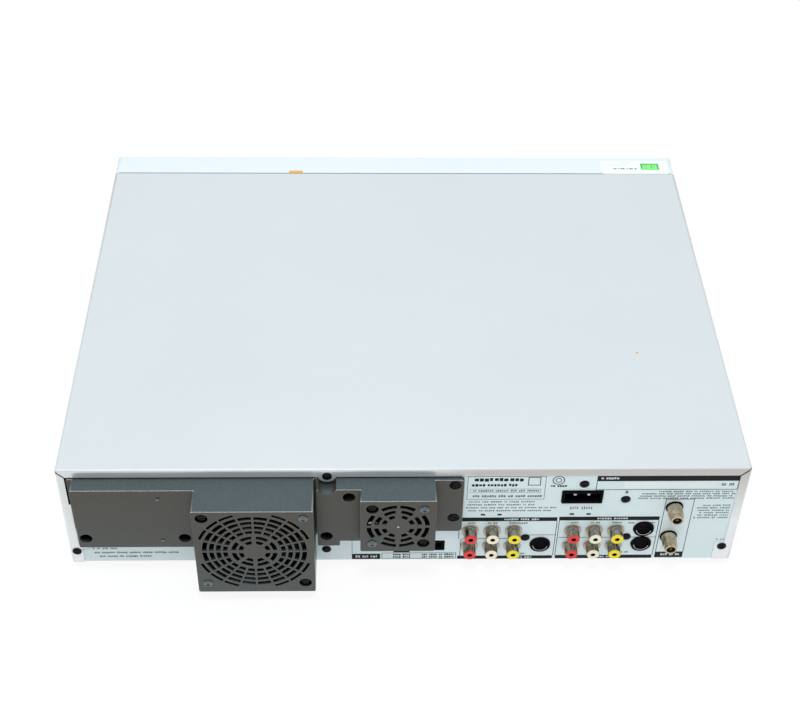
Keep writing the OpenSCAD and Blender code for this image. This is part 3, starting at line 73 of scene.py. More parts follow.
def rgb(r, g, b):
    """A colour as Blender keeps it, from its 0 to 255 screen values."""
    return (linear(r), linear(g), linear(b), 1)


class Tree:
    """A material's node tree, with short calls for the nodes that the finishes share."""

    def __init__(self, name):
        self.mat = bpy.data.materials.new(name)
        self.mat.use_nodes = True
        self.nt = self.mat.node_tree
        self.shader = self.nt.nodes["Principled BSDF"]
        self.coord = self.nt.nodes.new("ShaderNodeTexCoord").outputs["Object"]

    def put(self, socket, value):
        if isinstance(value, bpy.types.NodeSocket):
            self.nt.links.new(value, socket)
        else:
            socket.default_value = value

    def node(self, kind, **inputs):
        n = self.nt.nodes.new(kind)
        for key, value in inputs.items():
            self.put(n.inputs[key], value)
        return n

    def stretched(self, scale):
        n = self.node("ShaderNodeMapping", Vector=self.coord)
        n.inputs["Scale"].default_value = scale
        return n.outputs[0]

    def noise(self, scale, detail=3.0, vector=None):
        n = self.node("ShaderNodeTexNoise", Vector=vector or self.coord, Scale=scale, Detail=detail, Roughness=0.55)
        return n.outputs["Fac"]

    def ramp(self, value, low, high, to_low=0.0, to_high=1.0):
        n = self.nt.nodes.new("ShaderNodeMapRange")
        n.clamp = True
        for i, v in enumerate((value, low, high, to_low, to_high)):
            self.put(n.inputs[i], v)
        return n.outputs[0]

    def math(self, op, a, b=0.0):
        n = self.nt.nodes.new("ShaderNodeMath")
        n.operation = op
        self.put(n.inputs[0], a)
        self.put(n.inputs[1], b)
        return n.outputs[0]

    def mix(self, fac, a, b):
        n = self.nt.nodes.new("ShaderNodeMix")
        n.data_type = "RGBA"
        self.put(n.inputs[0], fac)
        self.put(n.inputs[6], a)
        self.put(n.inputs[7], b)
        return n.outputs[2]

    def edges(self, radius):
        """Near 1 along sharp outer edges and corners, 0 on flat faces."""
        bevel = self.node("ShaderNodeBevel", Radius=radius)
        bevel.samples = 4
        geo = self.nt.nodes.new("ShaderNodeNewGeometry")
        dot = self.nt.nodes.new("ShaderNodeVectorMath")
        dot.operation = "DOT_PRODUCT"
        self.put(dot.inputs[0], bevel.outputs[0])
        self.put(dot.inputs[1], geo.outputs["Normal"])
        return self.ramp(dot.outputs["Value"], 0.99, 0.80)

    def height(self, low, high):
        """0 below one height above the cabinet's base and 1 over another, in millimetres."""
        place = self.nt.nodes.new("ShaderNodeNewGeometry").outputs["Position"]
        split = self.node("ShaderNodeSeparateXYZ", Vector=place)
        return self.ramp(split.outputs[2], BASE + low / 1000, BASE + high / 1000)

    def painted_rear_reflection(self):
        """Where a painted reflection goes: 1 high on rear faces beside the fan cases, fading downwards and behind the
        cases.
        """
        geo = self.nt.nodes.new("ShaderNodeNewGeometry")
        normal = self.node("ShaderNodeSeparateXYZ", Vector=geo.outputs["Normal"])
        place = self.node("ShaderNodeSeparateXYZ", Vector=geo.outputs["Position"])
        beside = self.ramp(place.outputs[0], -0.045, -0.015, 1.0, 0.25)
        return self.math("MULTIPLY", self.math("MULTIPLY", self.ramp(normal.outputs[1], 0.7, 0.97), beside),
                         self.height(38, 84))

    def painted_glint_ridge(self, radius):
        """Near 1 along edges between a top and a rear face, where a painted highlight goes."""
        bevel = self.node("ShaderNodeBevel", Radius=radius)
        bevel.samples = 6
        split = self.node("ShaderNodeSeparateXYZ", Vector=bevel.outputs[0])
        return self.ramp(self.math("MINIMUM", split.outputs[1], split.outputs[2]), 0.18, 0.55)

    def painted_recess_shade(self, distance):
        """1 down in holes, wells and slots, where painted shade goes, 0 on open faces."""
        ao = self.node("ShaderNodeAmbientOcclusion", Distance=distance)
        ao.samples = 8
        return self.ramp(ao.outputs["AO"], 0.40, 0.62, 1.0, 0.0)

    def up(self):
        """1 on faces that look up, where dust settles and where the fan cases' painted sky reflection goes."""
        geo = self.nt.nodes.new("ShaderNodeNewGeometry")
        split = self.node("ShaderNodeSeparateXYZ", Vector=geo.outputs["Normal"])
        return self.ramp(split.outputs[2], 0.7, 1.0)

    def bump(self, height, strength, distance=0.0001):
        return self.node("ShaderNodeBump", Height=height, Strength=strength, Distance=distance).outputs[0]

    def finish(self, colour, rough, normal=None, metal=0.0, spec=0.5, coat=0.0):
        s = self.shader.inputs
        self.put(s["Base Color"], colour)
        self.put(s["Roughness"], rough)
        s["Metallic"].default_value = metal
        s["Specular IOR Level"].default_value = spec
        s["Coat Weight"].default_value = coat
        s["Coat Roughness"].default_value = 0.1
        if normal:
            self.put(s["Normal"], normal)
        return self.mat


# Painted highlight for the fan cases' top edges.
PAINTED_EDGE_GLINT = rgb(225, 232, 234)
# Painted shade down in holes, wells and slots.
PAINTED_HOLE_SHADE = (0.002, 0.002, 0.003, 1)
DUST = rgb(196, 198, 196)
BARE_STEEL = (0.45, 0.46, 0.46, 1)


def shade(colour, factor):
    """The colour made darker or paler."""
    return tuple(min(1, c * factor) for c in colour[:3]) + (1,)


def moulded(name, colour, rough=0.45, grain=900, bump=0.25, spread=0.06, wear=0.35, dust=0.0, spec=0.5, coat=0.0,
            painted_reflection_tint=None):
    """Moulded plastic: fine grain, slight tone drift, paler rubbed edges and a little dust.

    With a tint, the fan cases' finish: that tint painted on upper faces and low down as a reflection of sky and
    floor, painted highlights along the top edges and painted shade down in holes and slots.
    """
    t = Tree(name)
    drift = t.noise(9)
    fine = t.noise(grain, 2)
    body = t.mix(t.ramp(drift, 0.3, 0.7), shade(colour, 1 - spread), shade(colour, 1 + spread))
    body = t.mix(t.math("MULTIPLY", t.ramp(fine, 0.35, 0.65), 0.10), body, shade(colour, 0.7))
    rub = t.math("MULTIPLY", t.edges(0.0006), t.ramp(t.noise(160), 0.38, 0.62, 0.25, 1.0))
    pale = tuple(c + (0.6 - c) * 0.35 for c in colour[:3]) + (1,)
    body = t.mix(t.math("MULTIPLY", rub, wear), body, pale)
    if painted_reflection_tint:
        # Painted reflection: half the tint low down, fading out upwards, and the tint on faces that look up.
        body = t.mix(t.height(5, 75), t.mix(0.5, body, painted_reflection_tint), body)
        body = t.mix(t.math("MULTIPLY", t.up(), t.ramp(drift, 0.3, 0.7, 0.75, 1.0)), body, painted_reflection_tint)
        # Painted highlight along the top rear edges, high up only.
        body = t.mix(t.math("MULTIPLY", t.painted_glint_ridge(0.0006), t.height(78.2, 78.8)), body, PAINTED_EDGE_GLINT)
        # Painted shade: holes, wells, slots and inner corners go black.
        body = t.mix(t.painted_recess_shade(0.012), body, PAINTED_HOLE_SHADE)
    if dust:
        speck = t.math("MULTIPLY", t.up(), t.ramp(t.noise(420, 4), 0.45, 0.75))
        body = t.mix(t.math("MULTIPLY", speck, dust), body, DUST)
    r = t.ramp(t.math("ADD", t.math("MULTIPLY", drift, 0.6), t.math("MULTIPLY", fine, 0.4)), 0.3, 0.7,
               rough - 0.07, rough + 0.09)
    return t.finish(body, r, t.bump(fine, bump), spec=spec, coat=coat)


def painted(name, colour, rough, flake, metal, tone=None, wear=0.4, bump=0.10):
    """Baked paint on sheet metal: faint orange peel, fine flake, slight cloudiness and bare spots at the folds."""
    t = Tree(name)
    cloud = t.noise(5, 4)
    flakes = t.node("ShaderNodeTexVoronoi", Vector=t.coord, Scale=2600).outputs["Color"]
    value = t.node("ShaderNodeSeparateColor", Color=flakes).outputs[0]
    body = t.mix(t.ramp(cloud, 0.3, 0.7), shade(colour, 0.975), shade(colour, 1.02))
    body = t.mix(t.math("MULTIPLY", value, flake), body, shade(colour, 0.62))
    # A painted reflection: the rear folds go greyer and warmer towards the top beside the fan cases.
    if tone:
        body = t.mix(t.math("MULTIPLY", t.painted_rear_reflection(), 0.62), body, tone)
    smudge = t.ramp(t.noise(34, 5), 0.60, 0.78)
    body = t.mix(t.math("MULTIPLY", smudge, 0.05), body, shade(colour, 0.72))
    rub = t.math("MULTIPLY", t.edges(0.0004), t.ramp(t.noise(240), 0.45, 0.65))
    body = t.mix(t.math("MULTIPLY", rub, wear), body, BARE_STEEL)
    r = t.ramp(t.math("ADD", t.math("MULTIPLY", cloud, 0.5), t.math("MULTIPLY", value, 0.5)), 0.25, 0.75,
               rough - 0.05, rough + 0.09)
    peel = t.math("ADD", t.noise(420, 2), t.math("MULTIPLY", value, 0.25))
    return t.finish(body, r, t.bump(peel, bump), metal=metal)


def plated(name, colour, rough=0.3, metal=1.0, brush=None, spangle=0.0, wear=0.3, dark=0.55, bump=0.12, spec=0.5,
           vary=1.0):
    """Bare or plated metal: rolling or turning marks, tarnish in patches and brighter rubbed edges."""
    t = Tree(name)
    vector = t.stretched(brush) if brush else t.coord
    lines = t.noise(300, 4, vector)
    tarnish = t.noise(60, 5)
    body = t.mix(t.ramp(tarnish, 0.42, 0.72, 0.0, 0.5), colour, shade(colour, dark))
    if spangle:
        cell = t.node("ShaderNodeTexVoronoi", Vector=t.coord, Scale=90).outputs["Color"]
        value = t.node("ShaderNodeSeparateColor", Color=cell).outputs[0]
        body = t.mix(t.math("MULTIPLY", value, spangle), body, shade(colour, 0.7))
    body = t.mix(t.math("MULTIPLY", t.edges(0.0003), wear), body, shade(colour, 1.15))
    r = t.ramp(t.math("ADD", t.math("MULTIPLY", lines, 0.5), t.math("MULTIPLY", tarnish, 0.5)), 0.3, 0.7,
               max(0.05, rough - 0.10 * vary), rough + 0.16 * vary)
    return t.finish(body, r, t.bump(lines, bump, 0.00005), metal=metal, spec=spec)


def board(name, colour, trace):
    """Circuit board: lacquer over faint tracks, with scattered tinned pads."""
    t = Tree(name)
    brick = t.node("ShaderNodeTexBrick", Vector=t.coord, Scale=150)
    t.put(brick.inputs["Color1"], (0, 0, 0, 1))
    t.put(brick.inputs["Color2"], (0.3, 0.3, 0.3, 1))
    t.put(brick.inputs["Mortar"], (1, 1, 1, 1))
    t.put(brick.inputs["Mortar Size"], 0.06)
    tracks = t.node("ShaderNodeSeparateColor", Color=brick.outputs["Color"]).outputs[0]
    pads = t.ramp(t.node("ShaderNodeTexVoronoi", Vector=t.coord, Scale=230).outputs["Distance"], 0.12, 0.18, 1, 0)
    body = t.mix(t.ramp(t.noise(22), 0.3, 0.7), shade(colour, 0.85), shade(colour, 1.15))
    body = t.mix(t.math("MULTIPLY", tracks, 0.45), body, trace)
    body = t.mix(t.math("MULTIPLY", pads, 0.8), body, (0.5, 0.5, 0.47, 1))
    return t.finish(body, t.ramp(t.noise(500), 0.3, 0.7, 0.25, 0.45), t.bump(tracks, 0.3), coat=0.2)


def smoked(name):
    """Dark see-through window with a polished face and fine hairline scratches."""
    t = Tree(name)
    hair = t.noise(80, 6, t.stretched((2, 30, 60)))
    body = t.mix(t.ramp(t.noise(14), 0.3, 0.7), (0.30, 0.31, 0.34, 1), (0.34, 0.35, 0.37, 1))
    mat = t.finish(body, t.ramp(hair, 0.35, 0.75, 0.03, 0.10), t.bump(hair, 0.04, 0.00002))
    t.shader.inputs["Transmission Weight"].default_value = 0.92
    t.shader.inputs["IOR"].default_value = 1.49
    return mat


def rubber(name, colour):
    """Dull rubber with a little pale dust."""
    t = Tree(name)
    dust = t.ramp(t.noise(700, 4), 0.45, 0.75)
    body = t.mix(t.math("MULTIPLY", dust, 0.25), colour, (0.16, 0.155, 0.15, 1))
    return t.finish(body, t.ramp(t.noise(90), 0.3, 0.7, 0.7, 0.92), t.bump(t.noise(1200), 0.3))


def threaded(name, colour):
    """Dull brass with a rolled thread that shows as bands round the socket."""
    t = Tree(name)
    wave = t.nt.nodes.new("ShaderNodeTexWave")
    wave.bands_direction = "Y"
    t.put(wave.inputs["Vector"], t.coord)
    t.put(wave.inputs["Scale"], 380)
    t.put(wave.inputs["Distortion"], 0.3)
    band = wave.outputs["Fac"]
    body = t.mix(t.ramp(t.noise(260, 4), 0.35, 0.7), colour, shade(colour, 0.62))
    body = t.mix(t.math("MULTIPLY", t.edges(0.0004), 0.6), body, shade(colour, 1.35))
    return t.finish(body, t.ramp(t.noise(500), 0.3, 0.7, 0.24, 0.44), t.bump(band, 0.25, 0.0001), metal=1.0)


def ink(name, colour):
    """Screen print: slightly uneven and matt."""
    t = Tree(name)
    body = t.mix(t.ramp(t.noise(900, 3), 0.30, 0.75), colour, shade(colour, 1.6))
    return t.finish(body, t.ramp(t.noise(300), 0.3, 0.7, 0.50, 0.66), t.bump(t.noise(1500), 0.08), spec=0.15)


def glow(name, colour, strength):
    """A lit digit or lamp."""
    t = Tree(name)
    body = t.mix(t.ramp(t.noise(700), 0.3, 0.7), colour, shade(colour, 0.8))
    t.put(t.shader.inputs["Emission Color"], colour)
    t.shader.inputs["Emission Strength"].default_value = strength
    return t.finish(body, t.ramp(t.noise(200), 0.3, 0.7, 0.35, 0.5), t.bump(t.noise(900), 0.05))


FINISH = {
    # The cover's tone is a painted reflection on its rear folds, greyer and warmer beside the fan cases.
    "cover_sheet": painted("cover_sheet", rgb(233, 236, 238), rough=0.34, flake=0.04, metal=0.6,
                           tone=rgb(164, 154, 142)),
    "chassis_steel": plated("chassis_steel", (0.55, 0.56, 0.57, 1), rough=0.38, spangle=0.25, metal=0.85),
    "rear_sheet": painted("rear_sheet", rgb(217, 232, 235), rough=0.42, flake=0.05, metal=0.3),
    "front_plastic": moulded("front_plastic", rgb(237, 245, 249), rough=0.36, grain=1400, bump=0.08, spread=0.02),
    "trim_plastic": moulded("trim_plastic", rgb(212, 219, 224), rough=0.28, grain=1400, bump=0.06, spread=0.02,
                            coat=0.2),
    "key_plastic": moulded("key_plastic", rgb(190, 196, 201), rough=0.26, grain=1400, bump=0.06, spread=0.03,
                           coat=0.2),
    "window_plastic": smoked("window_plastic"),
    "foot_rubber": rubber("foot_rubber", (0.03, 0.03, 0.03, 1)),
    "board_green": board("board_green", (0.02, 0.10, 0.045, 1), (0.05, 0.20, 0.09, 1)),
    "board_tan": board("board_tan", (0.42, 0.27, 0.12, 1), (0.50, 0.36, 0.18, 1)),
    "coil_yellow": moulded("coil_yellow", (0.55, 0.38, 0.06, 1), rough=0.5, grain=500, bump=0.5, spread=0.15),
    "sleeve_blue": moulded("sleeve_blue", (0.012, 0.018, 0.07, 1), rough=0.3, grain=600, bump=0.1, coat=0.3),
    "aluminium": plated("aluminium", (0.76, 0.77, 0.78, 1), rough=0.26, brush=(1, 1, 14)),
    "black_plastic": moulded("black_plastic", (0.003, 0.003, 0.004, 1), rough=0.55, grain=1100, bump=0.2,
                             spec=0.03, wear=0.05),
    # The fan cases' tint is a painted reflection of sky and floor, with painted highlights on top edges and painted
    # shade in holes.
    "case_plastic": moulded("case_plastic", rgb(63, 60, 51), rough=0.30, grain=1300, bump=0.12, spread=0.05,
                            wear=0.85, dust=0.03, painted_reflection_tint=rgb(68, 80, 84)),
    "fan_plastic": moulded("fan_plastic", (0.002, 0.002, 0.002, 1), rough=0.55, grain=900, bump=0.15,
                           spec=0.03, wear=0.04),
    "bright_steel": plated("bright_steel", (0.62, 0.62, 0.61, 1), rough=0.20, wear=0.4),
    "black_steel": plated("black_steel", (0.005, 0.005, 0.005, 1), rough=0.26, metal=0.0, wear=0.5, spec=0.14),
    "tinned_steel": plated("tinned_steel", (0.60, 0.60, 0.58, 1), rough=0.34, brush=(10, 1, 1), spangle=0.12),
    "aerial_brass": threaded("aerial_brass", (0.66, 0.56, 0.40, 1)),
    "phono_red": moulded("phono_red", (0.78, 0.030, 0.025, 1), rough=0.30, grain=1500, bump=0.1, wear=0.2),
    "phono_white": moulded("phono_white", (0.95, 0.88, 0.68, 1), rough=0.32, grain=1500, bump=0.1, wear=0.1),
    "phono_yellow": moulded("phono_yellow", (0.95, 0.78, 0.005, 1), rough=0.30, grain=1500, bump=0.1, wear=0.2),
    "grey_plastic": moulded("grey_plastic", (0.19, 0.20, 0.205, 1), rough=0.45),
    "white_plastic": moulded("white_plastic", (0.76, 0.76, 0.72, 1), rough=0.38, bump=0.12, wear=0.1),
}
INK_BLACK = ink("ink_black", (0.006, 0.008, 0.009, 1))
INK_GREY = ink("ink_grey", (0.13, 0.14, 0.145, 1))
INK_PALE = ink("ink_pale", (0.50, 0.53, 0.54, 1))
PAPER = moulded("paper", rgb(232, 238, 238), rough=0.6, grain=700, bump=0.1, wear=0.0)
GREEN = ink("ink_green", rgb(40, 158, 66))
PALE_GREEN = ink("ink_pale_green", rgb(128, 226, 126))
WHITE = moulded("sticker_paper", rgb(250, 253, 252), rough=0.6, grain=700, bump=0.1, spread=0.02, wear=0.0)
ORANGE = moulded("tape_orange", rgb(238, 178, 82), rough=0.5, grain=500, bump=0.3, spread=0.15)
DIGITS = glow("display_glow", (0.25, 0.75, 0.68, 1), 1.2)
LAMP = glow("lamp_red", (0.65, 0.03, 0.02, 1), 0.6)

# Finishes of parts whose colour differs from the rest of their slot.
SLEEVE = plated("sleeve_nickel", (0.42, 0.37, 0.30, 1), rough=0.22, wear=0.8, dark=0.85, bump=0.02, vary=0.25)
# Metal inlet pins in a near-white finish, partly a painted highlight, brighter than metal deep in the inlet would
# show.
PALE_PIN_FOR_GLINT = plated("inlet_pin", (0.93, 0.93, 0.90, 1), rough=0.3, metal=0.25, vary=0.3)
ZINC = plated("zinc_dome", (0.17, 0.205, 0.22, 1), rough=0.26, wear=0.3)
OWN = {"phono_sleeves": SLEEVE, "silver_screws": ZINC}
for part in frame["record"]["subparts"]:
    mesh = frame["nodes"][part["node"]].data
    mesh.materials.clear()
    mesh.materials.append(OWN.get(part["node"]) or FINISH[part["material_slot"]])


# ---------------------------------------------------------------- edges of the CAD parts
# Degrees between faces from which an edge counts as sharp.
SHARP = 35


def soften(name, width):
    """Rounds a CAD part's edges, so that they catch the light as moulded and folded edges do."""
    o = frame["nodes"][name]
    weld = o.modifiers.new("weld", "WELD")
    weld.merge_threshold = 0.00002
    bevel = o.modifiers.new("bevel", "BEVEL")
    bevel.width = width / 1000
    bevel.segments = 2
    bevel.limit_method = "ANGLE"
    bevel.angle_limit = math.radians(SHARP)
    bevel.harden_normals = True


# Bevel widths in millimetres.
KEY_BEVEL = 0.3
SOFT = {"large_fan_case": 0.7, "small_fan_case": 0.7, "top_cover": 0.35, "rear_panel": 0.15, "front_panel": 0.7,
        "cassette_door": 0.4, "tray_front": 0.4, "front_flap": 0.4, "display_window": 0.3, "feet": 0.6,
        "bottom_chassis": 0.25, "ac_inlet": 0.3, "socket_blocks": 0.25, "svideo_sockets": 0.25,
        "aerial_sockets": 0.3, "phono_sleeves": 0.12, "phono_linings_red": 0.15, "phono_linings_white": 0.15,
        "phono_linings_yellow": 0.15, "black_screws": 0.15, "silver_screws": 0.15, "large_fan_rotor": 0.3,
        "small_fan_rotor": 0.2, "large_fan_frame": 0.3, "small_fan_frame": 0.3, "disc_tray": 0.4,
        "supply_reel": 0.3, "takeup_reel": 0.3, "cassette_carriage": 0.4, "cassette_holder": 0.2,
        "transformer": 0.5, "power_capacitors": 0.4, "disc_turntable": 0.3, "laser_sled": 0.3, "pinch_arm": 0.3}
for name, width in SOFT.items():
    soften(name, width)
for name in frame["nodes"]:
    if name.endswith("_key"):
        soften(name, KEY_BEVEL)


# ---------------------------------------------------------------- mesh pieces
class Piece:
    """Collects closed solids into one mesh that rides on a body."""

    def __init__(self, name, material, body="cabinet", slot=None):
        self.name, self.material, self.body, self.slot = name, material, body, slot
        self.bm = bmesh.new()

    def prism(self, points, depth):
        """A flat outline, as a list of points, pushed along depth."""
        low = [self.bm.verts.new(p) for p in points]
        high = [self.bm.verts.new(p + depth) for p in points]
        n = len(points)
        self.bm.faces.new(low)
        self.bm.faces.new(high[::-1])
        for i in range(n):
            self.bm.faces.new((low[i], high[i], high[(i + 1) % n], low[(i + 1) % n]))

    def turned(self, profile, centre, along, sides=48):
        """A closed profile of (radius, height) pairs turned round an axis."""
        along = along.normalized()
        u = along.orthogonal().normalized()
        w = along.cross(u)
        rings = []
        for radius, height in profile:
            ring = []
            for k in range(sides):
                a = 2 * math.pi * k / sides
                ring.append(self.bm.verts.new(centre + (u * math.cos(a) + w * math.sin(a)) * radius / 1000
                                              + along * height / 1000))
            rings.append(ring)
        for a, b in zip(rings, rings[1:] + rings[:1]):
            for k in range(sides):
                self.bm.faces.new((a[k], a[(k + 1) % sides], b[(k + 1) % sides], b[k]))

    def done(self, smooth=True):
        """Makes the object, with its finish, and rides it on its body."""
        bmesh.ops.recalc_face_normals(self.bm, faces=self.bm.faces)
        mesh = bpy.data.meshes.new(self.name)
        self.bm.to_mesh(mesh)
        self.bm.free()
        mesh.materials.append(self.material)
        o = bpy.data.objects.new(self.name, mesh)
        bpy.context.scene.collection.objects.link(o)
        if smooth:
            mesh.polygons.foreach_set("use_smooth", [True] * len(mesh.polygons))
            mesh.set_sharp_from_angle(angle=math.radians(SHARP))
        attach(o, self.body)
        return o


OUT = Vector((0, 1, 0))
UP = Vector((0, 0, 1))
# How far print stands off its face, and how far it reaches into it, in millimetres.
LIFT = 0.05
OVERPRINT = 0.09
SINK = 0.03


class Print(Piece):
    """Thin print on the rear panel, placed by x and z."""

    def bar(self, x0, x1, z0, z1, lift=LIFT):
        corners = [at(x, PANEL - SINK, z) for x, z in ((x0, z0), (x1, z0), (x1, z1), (x0, z1))]
        self.prism(corners, OUT * (lift + SINK) / 1000)

    def frame(self, x0, x1, z0, z1, line=0.35):
        self.bar(x0, x1, z0, z0 + line)
        self.bar(x0, x1, z1 - line, z1)
        self.bar(x0, x0 + line, z0 + line, z1 - line)
        self.bar(x1 - line, x1, z0 + line, z1 - line)

    def words(self, x0, x1, z0, z1, seed, lift=LIFT, unit=(0.7, 1.2), gap=0.35, space=1.1):
        """A row of small plain blocks, bunched unevenly, in place of a line of words."""
        rng = random.Random(seed)
        x = x0
        while x < x1 - unit[1]:
            for _ in range(rng.randint(2, 7)):
                wide = rng.uniform(*unit)
                if x + wide > x1:
                    break
                trim = (z1 - z0) * 0.22
                self.bar(x, x + wide, z0 + trim * rng.random(), z1 - trim * rng.random(), lift)
                x += wide + gap
            x += space

    def ring(self, x, z, r0, r1):
        self.turned([(r0, -SINK), (r1, -SINK), (r1, LIFT), (r0, LIFT)], at(x, PANEL, z), OUT, 40)


black = Print("rear_print_bars", INK_BLACK)
grey = Print("rear_print_lines", INK_GREY)
pale = Print("rear_print_pale", INK_PALE)
# Bars over and under the two groups of phono sockets, each with a short pale row on it.
for x0, x1, z0, z1, w0, w1 in [(-97.8, -37, 37.6, 41.2, -86, -61), (-97.6, -35.4, 0.4, 3.4, -84, -67),
                               (-163.3, -99, 38.1, 41.6, -143, -122), (-163, -99.5, 0.4, 3.6, -142, -124),
                               (15, 33.4, 0.6, 5.8, 17, 31.5), (-183.3, -165, 1.0, 6.6, -181, -167.5)]:
    black.bar(x0, x1, z0, z1)
    tall = (z1 - z0) * 0.24
    middle = (z0 + z1) / 2
    pale.words(w0, w1, middle - tall, middle + tall, int(x0), OVERPRINT, (0.8, 1.5), 0.4)
# Lines between and round the groups; the last bar is a painted shadow line along the inner edge of the side flange on
# the −x side.
for x0, x1, z0, z1 in [(-79, -38, 20.4, 20.8), (-98, -80, 23.8, 24.2), (-35.7, -35.3, 20.6, 41),
                       (-163, -100, 21.2, 21.6), (-98.1, -97.7, 3.4, 37.6), (-99.5, -99.1, 3.4, 38.1),
                       (-163.5, -163.1, 3.4, 38.1), (-37.2, -36.8, 3.4, 20.4), (-208.8, -119.4, 75.4, 79.9),
                       (33.1, 33.4, 5.8, 27), (15, 33.1, 26.7, 27), (-209.8, -209.4, 18, 70)]:
    black.bar(x0, x1, z0, z1)
pale.words(-133, -120.6, 76.5, 78.7, 11, OVERPRINT, (1.0, 1.6))
black.frame(-87.7, -38.9, 58.4, 79.8, 0.3)
black.frame(-208.8, -119.4, 66.9, 75.5, 0.45)
black.frame(-183.3, -165, 1.0, 58.2, 0.4)
black.frame(-34.4, 14, 0.6, 6.7, 0.3)
# Name place, kept as plain blocks, with a plain square and ring beside it.
black.words(-73.5, -40.5, 75.0, 78.4, 3, LIFT, (1.9, 2.6), 0.6, 0.6)
black.words(-70, -40.5, 70.4, 73.0, 4, LIFT, (1.3, 1.9), 0.5, 1.0)
black.frame(-84.5, -76.5, 71.4, 79.0, 0.55)
grey.frame(-85, -40.5, 64.7, 68.3, 0.25)
grey.words(-84, -41.5, 65.6, 67.4, 5)
grey.words(-86, -41, 60.2, 62.6, 6, LIFT, (1.0, 1.5))
black.ring(-95.5, 76, 3.3, 3.9)
black.ring(-95.5, 76, 1.5, 2.0)
black.words(-101, -90, 69.9, 71.6, 7, LIFT, (0.9, 1.3))
# Small rows: under the name place, over and beside the aerial sockets, over a corner tab, under the inlet.
for i, (x1, z) in enumerate([(-82, 56.2), (-82, 53.4), (-96, 50.6), (-93, 47.8)]):
    grey.words(x1, -38, z - 0.75, z + 0.65, 20 + i)
for i in range(4):
    grey.words(-208 + (i % 2) * 1.5, -147 - (i == 3) * 12, 58.2 + i * 2.1, 59.6 + i * 2.1, 30 + i)
for i in range(6):
    grey.words(-206.8, -184.4 - (i % 3) * 1.5, 39.6 + i * 2.35, 41.0 + i * 2.35, 40 + i)
grey.words(-208.4, -202.4, 18.2, 19.4, 49, LIFT, (0.9, 1.4), 0.5)
grey.words(-119, -102, 48.6, 51.4, 50, LIFT, (0.5, 0.9), 0.7, 1.6)
for x, z in [(-50, 43.9), (-60.6, 43.9), (-106.6, 44.2), (-117.3, 44.2)]:
    black.bar(x - 1.4, x + 1.4, z - 0.7, z + 0.8)
for x, z in [(-199, 71.6), (-204, 71.6)]:
    grey.words(x - 1.8, x + 1.8, z - 1.5, z + 1.5, int(x), LIFT, (0.6, 0.9), 0.3)
# Rows under the duct, under the small fan, and by the sockets.
for x0, x1, z in [(184.7, 200.6, 12.5), (145.7, 200.6, 8.4), (163.4, 199.4, 4.6)]:
    grey.words(x0, x1, z - 0.9, z + 0.9, int(x0))
for i, (x0, x1) in enumerate([(-4.5, 7.6), (-33, -12)]):
    for z in (2.4, 4.9):
        black.words(x0, x1, z - 0.85, z + 0.85, 60 + i)
for middle in PHONO_GROUPS:
    for i in (-1, 0, 1):
        grey.words(middle + i * PHONO_STEP - 3, middle + i * PHONO_STEP + 3, 35.0, 36.6, 70 + i)
for x, z in [(-144.5, 35.6), (-158, 35.6), (-76, 5.4), (-76, 35.6), (-144, 6.5)]:
    grey.words(x - 3, x + 3, z - 0.8, z + 0.8, int(x + z))
for p in (black, grey, pale):
    p.done(False)

label = Print("serial_label", PAPER)
label.bar(-195, -137, 68.4, 74.2, 0.08)
label.done(False)


# ---------------------------------------------------------------- socket trim
# A bright arc inside the lower half of each S-video socket: its round shield, drawn only where it catches the light,
# as a painted highlight.
rings = Piece("svideo_shield_highlights", FINISH["bright_steel"], slot="bright_steel")
ARC_FROM, ARC_TURN, ARC_STEPS = 188, 172, 24
for x, z in [(-88.6, 15), (-154.3, 30), (-154.3, 15.4)]:
    for k in range(ARC_STEPS):
        a0, a1 = (math.radians(ARC_FROM + (k + i) * ARC_TURN / ARC_STEPS) for i in (0, 1))
        rings.prism([at(x + radius * math.cos(a), PANEL - 1.2, z + radius * math.sin(a)) for radius, a in
                     ((4.5, a0), (4.8, a0), (4.8, a1), (4.5, a1))], OUT * 0.0027)
rings.done()
aerial_low, aerial_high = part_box("aerial_sockets")
aerial_x = (aerial_low.x + aerial_high.x) * 500
aerial_end = (aerial_high.y - REAR) * 1000
NUT_HALF = 5.65
aerial_z = [(aerial_low.z - BASE) * 1000 + NUT_HALF, (aerial_high.z - BASE) * 1000 - NUT_HALF]
# Black rings in the gaps round the aerial sockets are painted shade down those gaps.
aerial_gap_shade = Piece("aerial_gap_shade_rings", FINISH["black_plastic"], slot="black_plastic")
plugs = Piece("aerial_insulators", FINISH["black_plastic"], slot="black_plastic")
for z in aerial_z:
    aerial_gap_shade.turned([(4.77, -0.02), (5.5, -0.02), (5.5, 0.5), (5.2, 0.8), (4.77, 0.85)], at(aerial_x, PANEL, z), OUT)
    plugs.turned([(0.85, -0.85), (2.92, -0.85), (2.92, -0.7), (1.6, -0.6), (0.85, -0.75)],
                 at(aerial_x, aerial_end, z), OUT)
aerial_gap_shade.done()
plugs.done()
# Black cups down the phono sockets' middle holes, as painted shade that makes the holes read dark.
phono_hole_shade = Piece("phono_hole_shade_cups", FINISH["fan_plastic"], slot="fan_plastic")
for middle in PHONO_GROUPS:
    for i in (-1, 0, 1):
        for z in PHONO_ROWS:
            phono_hole_shade.turned([(0.01, 3.2), (1.58, 3.2), (1.58, 7.2), (1.35, 7.2), (1.3, 3.6), (0.01, 3.6)],
                            at(middle + i * PHONO_STEP, 0, z), OUT, 24)
phono_hole_shade.done()
